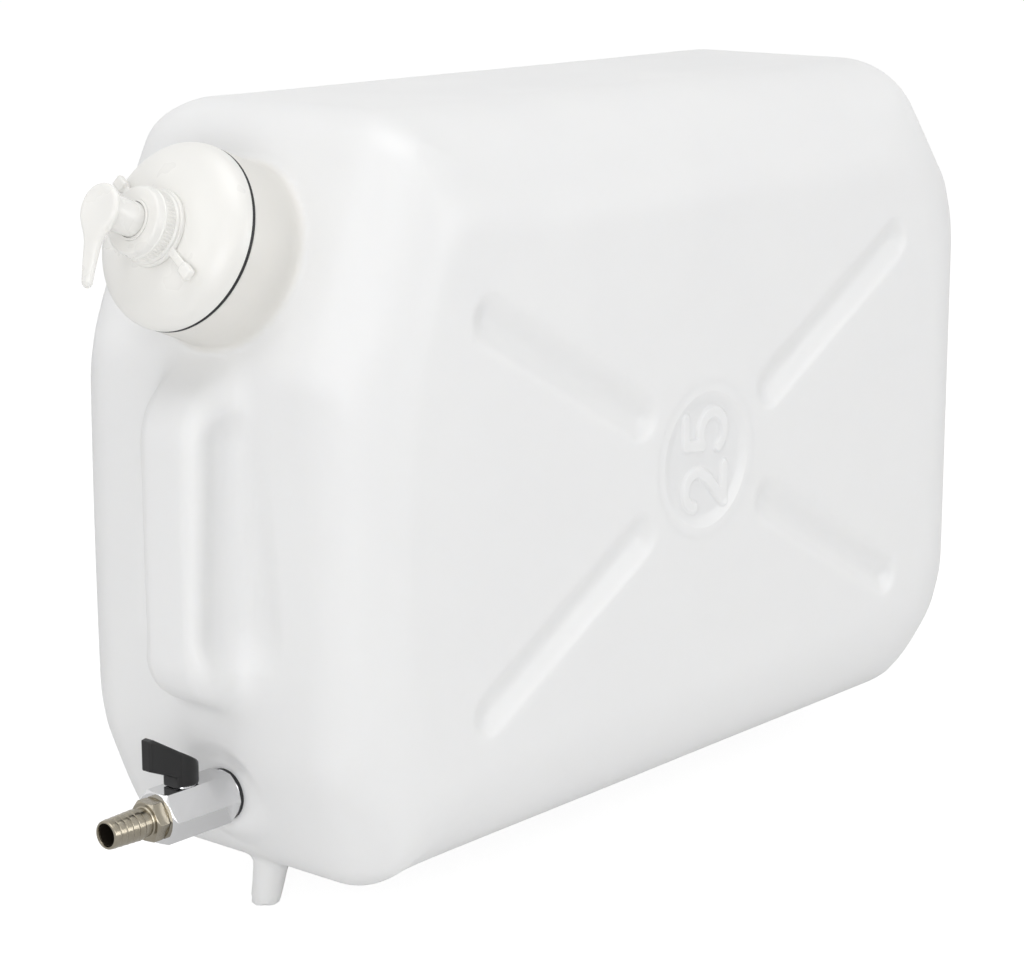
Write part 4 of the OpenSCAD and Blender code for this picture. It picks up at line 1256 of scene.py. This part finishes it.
@dataclass
class BallValve:
    """The chromed valve body, its black lever, and the nickelled hose barb."""

    flats: float = 22.5
    body_low: float = 1.6
    body_high: float = 42.0
    tail_reach: float = 17.0
    tail_radius: float = 10.4
    bore: float = 5.0
    cavity: float = 8.25
    cavity_low: float = 18.0
    cavity_high: float = 33.0
    socket: float = 9.2
    boss_radius: float = 6.0
    boss_low: float = 47.6
    boss_top: float = 52.05
    stem_bore: float = 3.48
    nut_flats: float = 17.0
    nut_high: float = 48.5
    barb_high: float = 70.5
    barb_root: float = 6.4
    ball_out: float = 25.5
    hub_radius: float = 7.2
    lever_low: float = 50.58
    lever_reach: float = 21.0
    lever_end: tuple[float, float] = (61.25, 74.85)

    def pivot(self) -> float:
        """Place along y of the stem, over the ball."""
        return VALVE_AXIS.origin[1] - self.ball_out

    def body(self) -> bpy.types.Object:
        """Builds the body from hexagonal stock, with its chamfers, tail thread and stem boss.

        Returns:
            The body.
        """
        low, high, flats = self.body_low, self.body_high, self.flats
        tail = self.tail_radius
        rows = [(-self.tail_reach, tail - 0.8, ROUND)]
        rows += [(z, tail - 0.45 * (0.5 - 0.5 * math.cos(2 * math.pi * z / 1.8)), ROUND)
                 for z in np.arange(0.4 - self.tail_reach, 0.0, 0.3)]
        rows += [(1.2, tail, ROUND), (low, tail, ROUND), (low, 11.2, ROUND), (low + 0.3, 11.5, ROUND)]
        rows += [(low + 0.3 + k * 0.12, 11.3 + k * 0.18, flats) for k in range(0, 13)]
        rows += [(low + 5.0, 13.6, flats), (high - 2.0, 13.6, flats)]
        rows += [(high - 1.9 + k * 0.13, 13.3 - k * 0.17, flats) for k in range(0, 14)]
        rows += [(high, 11.0, flats), (high, self.socket + 0.05, ROUND), (high - 1.0, self.socket, ROUND),
                 (self.cavity_high, self.socket, ROUND), (self.cavity_high, self.cavity, ROUND),
                 (self.cavity_low, self.cavity, ROUND), (self.cavity_low, self.bore, ROUND),
                 (-self.tail_reach, self.bore, ROUND)]
        points, faces = turned_hex(np.array(rows))
        body = plain_object("body", VALVE_AXIS.place(points), faces)
        wide, top = self.boss_radius, self.boss_top
        boss, round_faces = revolve(np.array([[3.5, self.boss_low], [wide, self.boss_low],
                                              [wide, top - 0.35], [wide - 0.3, top], [3.5, top]]), 64)
        boss[:, 1] += self.pivot()
        hole, hole_faces = revolve(np.array([[0.01, 44.0], [self.stem_bore, 44.0],
                                             [self.stem_bore, 60.0], [0.01, 60.0]]), 64)
        hole[:, 1] += self.pivot()
        combine(body, plain_object("boss", boss, round_faces), "UNION")
        combine(body, plain_object("hole", hole, hole_faces), "DIFFERENCE")
        mesh = body.data
        bpy.data.objects.remove(body)
        mesh.name = "body_chromed"
        return adopt("body_chromed", mesh, CHROME, "tank", Slot.CHROME, ("valve_body",), 24.0)

    def lever(self) -> bpy.types.Object:
        """Builds the lever: a round hub that narrows into a tall blade, with softly broken edges.

        Returns:
            The lever.
        """
        pivot, hub, low, reach = self.pivot(), self.hub_radius, self.lever_low, self.lever_reach
        under, over = self.lever_end
        side = np.array([[pivot + hub, low], [pivot + hub, 59.65], [pivot - reach + 2.5, over + 0.4],
                         [pivot - reach, over], [pivot - reach, under], [pivot - hub - 4.0, under - 4.0],
                         [pivot - hub, under - 6.0], [pivot - hub, low]])
        plan = np.array([[-0.8 * hub, pivot], [0.8 * hub, pivot],
                         [3.0, pivot - reach - 1.0], [-3.0, pivot - reach - 1.0]])

        def form(points: np.ndarray) -> np.ndarray:
            """Distance to the lever.

            Args:
                points: Points in rows, in mm.

            Returns:
                The distances, negative inside.
            """
            profile = polygon(points[:, 1:], side)
            own = points - np.array([0, pivot, 0])
            above = np.minimum(np.hypot(own[:, 0], own[:, 1]) - hub, polygon(points[:, :2], plan))
            lever = meet(profile + 0.05, above + 0.05, 1.3)
            lever = cut(lever, pillar(own, 48.0, self.boss_top + 0.3, self.boss_radius + 0.4, 0.1), 0.1)
            lever = cut(lever, pillar(own, 50.0, 58.05, 3.45, 0.1), 0.1)
            return cut(lever, pillar(own, 59.25, 90.0, 3.9, 0.3), 0.8)

        corner = (-hub - 0.1, pivot - reach - 0.2, 50.4)
        points, faces = net(form, corner, (hub + 0.1, pivot + hub + 0.1, 75.4), 0.42, 2)
        return add_piece("lever_blade", points, faces, NYLON, "lever", Slot.NYLON, ("valve_lever",), 38.0)

    def barb(self) -> bpy.types.Object:
        """Builds the barb: hexagonal nut, plain root, shallow ridges that taper, and a round lip.

        Returns:
            The barb.
        """
        low, seat, nut, tip = self.body_high - 7.5, self.body_high, self.nut_high, self.barb_high
        rows = [(low, 6.2, ROUND), (low + 0.5, 6.6, ROUND), (seat, 6.6, ROUND), (seat, 8.6, ROUND)]
        rows += [(seat + 0.05 + k * 0.1, 8.9 + k * 0.14, self.nut_flats) for k in range(0, 9)]
        rows += [(nut - 1.2, 9.9, self.nut_flats)]
        rows += [(nut - 1.1 + k * 0.1, 9.75 - k * 0.14, self.nut_flats) for k in range(0, 11)]
        rows += [(nut, 7.0, ROUND), (nut + 0.4, self.barb_root + 0.05, ROUND),
                 (nut + 4.6, self.barb_root, ROUND)]
        for k in range(5):
            ridge = nut + 5 + 3.4 * k
            wide = 7.05 - 0.12 * k
            rows += [(ridge - 0.4, wide - 0.26, ROUND), (ridge, wide - 0.08, ROUND),
                     (ridge + 0.5, wide, ROUND), (ridge + 1.8, wide - 0.14, ROUND),
                     (ridge + 2.9, wide - 0.27, ROUND)]
        rows += [(tip - 0.5, 6.3, ROUND), (tip - 0.12, 6.05, ROUND), (tip, 5.7, ROUND),
                 (tip - 0.1, self.bore + 0.25, ROUND), (tip - 0.6, self.bore, ROUND), (low, self.bore, ROUND)]
        points, faces = turned_hex(np.array(rows))
        self.sleeve(low + 0.2)
        return add_piece("barb_turned", VALVE_AXIS.place(points), faces, NICKEL, "tank", Slot.NICKEL,
                         ("hose_barb",), 28.0)

    def sleeve(self, low: float) -> bpy.types.Object:
        """Builds the dark skin inside the barb's bore, painted shade deep in the hole.

        Args:
            low: Where the skin starts along the valve's axis.

        Returns:
            The skin.
        """
        high, wide = self.barb_high - 1.2, self.bore - 0.01
        points, faces = revolve(np.array([[wide - 0.09, low], [wide, low], [wide, high],
                                          [wide - 0.09, high]]), 64)
        # The lining's dark finish is painted shade inside the bore.
        return add_piece("barb_bore", VALVE_AXIS.place(points), faces, PAINTED_BORE_SHADE, "tank", Slot.NICKEL)

    def build(self) -> None:
        """Builds the three pieces."""
        for make in (self.body, self.lever, self.barb):
            make()


# Floor, light and camera.


@dataclass
class Studio:
    """Pale floor, soft light and the camera at the photograph's viewing angle."""

    eye_mm: tuple[float, float, float] = (868.76, -1074.38, 454.42)
    heading: float = 0.6989
    pitch: float = 0.2251
    focal_px: float = 2857.4
    image_px: tuple[int, int] = (1024, 966)
    sensor_mm: float = 36.0
    floor_reach: float = 60.0
    floor_level: float = -0.0192
    paper: str = "#f0f0f0"
    paper_seen: str = "#898989"
    floor_glow: float = 0.90
    floor_gleam: float = 0.48
    sky: float = 0.48

    def seen(self, tree: bpy.types.NodeTree) -> tuple[bpy.types.NodeSocket, bpy.types.NodeSocket]:
        """Adds two switches: 1 for rays from the camera and through glass, and 1 for rays from gloss.

        Args:
            tree: The node tree that gets the nodes.

        Returns:
            The two output sockets.
        """
        path = add_node(tree, "ShaderNodeLightPath")
        plain = add_node(tree, "ShaderNodeMath", {"operation": "MAXIMUM"},
                         {0: path.outputs["Is Camera Ray"], 1: path.outputs["Is Transmission Ray"]})
        return plain.outputs[0], path.outputs["Is Glossy Ray"]

    def floor(self) -> None:
        """Lays the floor: it looks white with a faint shadow, and lights the object as paper does."""
        far, level = self.floor_reach, self.floor_level
        mesh = bpy.data.meshes.new("floor")
        mesh.from_pydata([(-far, -far, level), (far, -far, level), (far, far, level), (-far, far, level)],
                         [], [(0, 1, 2, 3)])
        sheet = bpy.data.objects.new("floor", mesh)
        bpy.context.scene.collection.objects.link(sheet)
        material = bpy.data.materials.new("paper_sweep_matt")
        material.use_nodes = True
        tree = material.node_tree
        shader = tree.nodes["Principled BSDF"]
        looks, gloss = self.seen(tree)
        seen = add_node(tree, "ShaderNodeMath", {"operation": "MAXIMUM"}, {0: looks, 1: gloss})
        colour = add_node(tree, "ShaderNodeMix",
                          {"data_type": "RGBA", 6: linear(self.paper), 7: linear(self.paper_seen)},
                          {0: seen.outputs[0]})
        tree.links.new(colour.outputs[2], shader.inputs["Base Color"])
        gleam = add_node(tree, "ShaderNodeMath", {"operation": "MULTIPLY", 1: self.floor_gleam}, {0: gloss})
        glow = add_node(tree, "ShaderNodeMath", {"operation": "MULTIPLY_ADD", 1: self.floor_glow},
                        {0: looks, 2: gleam.outputs[0]})
        shader.inputs["Emission Color"].default_value = (1, 1, 1, 1)
        tree.links.new(glow.outputs[0], shader.inputs["Emission Strength"])
        shader.inputs["Roughness"].default_value = 0.9
        shader.inputs["Specular IOR Level"].default_value = 0.0
        mesh.materials.append(material)

    def world(self) -> None:
        """Sets the world: a plain level of light, and white where camera, gloss or glass looks at it."""
        world = bpy.data.worlds.new("studio")
        world.use_nodes = True
        tree = world.node_tree
        looks, gloss = self.seen(tree)
        seen = add_node(tree, "ShaderNodeMath", {"operation": "MAXIMUM"}, {0: looks, 1: gloss})
        level = add_node(tree, "ShaderNodeMapRange", {"To Min": self.sky, "To Max": 1.0},
                         {"Value": seen.outputs[0]})
        tree.links.new(level.outputs["Result"], tree.nodes["Background"].inputs["Strength"])
        tree.nodes["Background"].inputs["Color"].default_value = (1, 1, 1, 1)
        bpy.context.scene.world = world

    def lamp(self, name: str, place: tuple[float, float, float], size: float, power: float) -> None:
        """Hangs a square soft box, aimed at the object's middle.

        Args:
            name: The lamp's name.
            place: Where it hangs, in metres.
            size: Length of its side, in metres.
            power: Its power in watts.
        """
        data = bpy.data.lights.new(name, "AREA")
        data.size = size
        data.energy = power
        lamp = bpy.data.objects.new(name, data)
        aim = np.array([0.0, 0.0, 0.17]) - np.array(place)
        lamp.location = place
        lamp.rotation_euler = Vector(aim).to_track_quat("-Z", "Y").to_euler()
        bpy.context.scene.collection.objects.link(lamp)

    def camera(self) -> None:
        """Sets the camera where a fit of the body's outline to the photograph puts it, without shift."""
        data = bpy.data.cameras.new("camera")
        data.sensor_width = self.sensor_mm
        data.lens = self.focal_px * self.sensor_mm / self.image_px[0]
        data.clip_end = 200.0
        eye = bpy.data.objects.new("camera", data)
        forward = Vector((-math.sin(self.heading) * math.cos(self.pitch),
                          math.cos(self.heading) * math.cos(self.pitch), -math.sin(self.pitch)))
        right = Vector((math.cos(self.heading), math.sin(self.heading), 0.0))
        up = right.cross(forward)
        turn = Matrix((right, up, -forward)).transposed()
        eye.matrix_world = Matrix.Translation(Vector(self.eye_mm) * MM) @ turn.to_4x4()
        bpy.context.scene.collection.objects.link(eye)
        bpy.context.scene.camera = eye

    def build(self) -> None:
        """Sets up floor, world, lamps and camera."""
        scene = bpy.context.scene
        scene.view_settings.view_transform = "Standard"
        self.floor()
        self.world()
        self.lamp("key_softbox", (0.9, -1.6, 0.35), 1.0, 9.0)
        self.lamp("top_softbox", (0.3, -0.4, 2.2), 1.6, 17.5)
        self.lamp("front_softbox", (-0.9, -2.4, 1.3), 1.6, 6.5)
        self.lamp("rear_softbox", (1.7, 1.0, 0.25), 1.0, 11.0)
        self.camera()


def main() -> None:
    """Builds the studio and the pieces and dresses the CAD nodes."""
    logging.basicConfig(level=logging.INFO, format="%(name)s %(message)s", stream=sys.stdout)
    Studio().build()
    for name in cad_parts:
        WARDROBE.dress_node(name)
    tank = Canister()
    tank.build()
    tank.disc(1)
    tank.disc(-1)
    LidAndPump().build()
    BallValve().build()


if __name__ == "__main__":
    main()
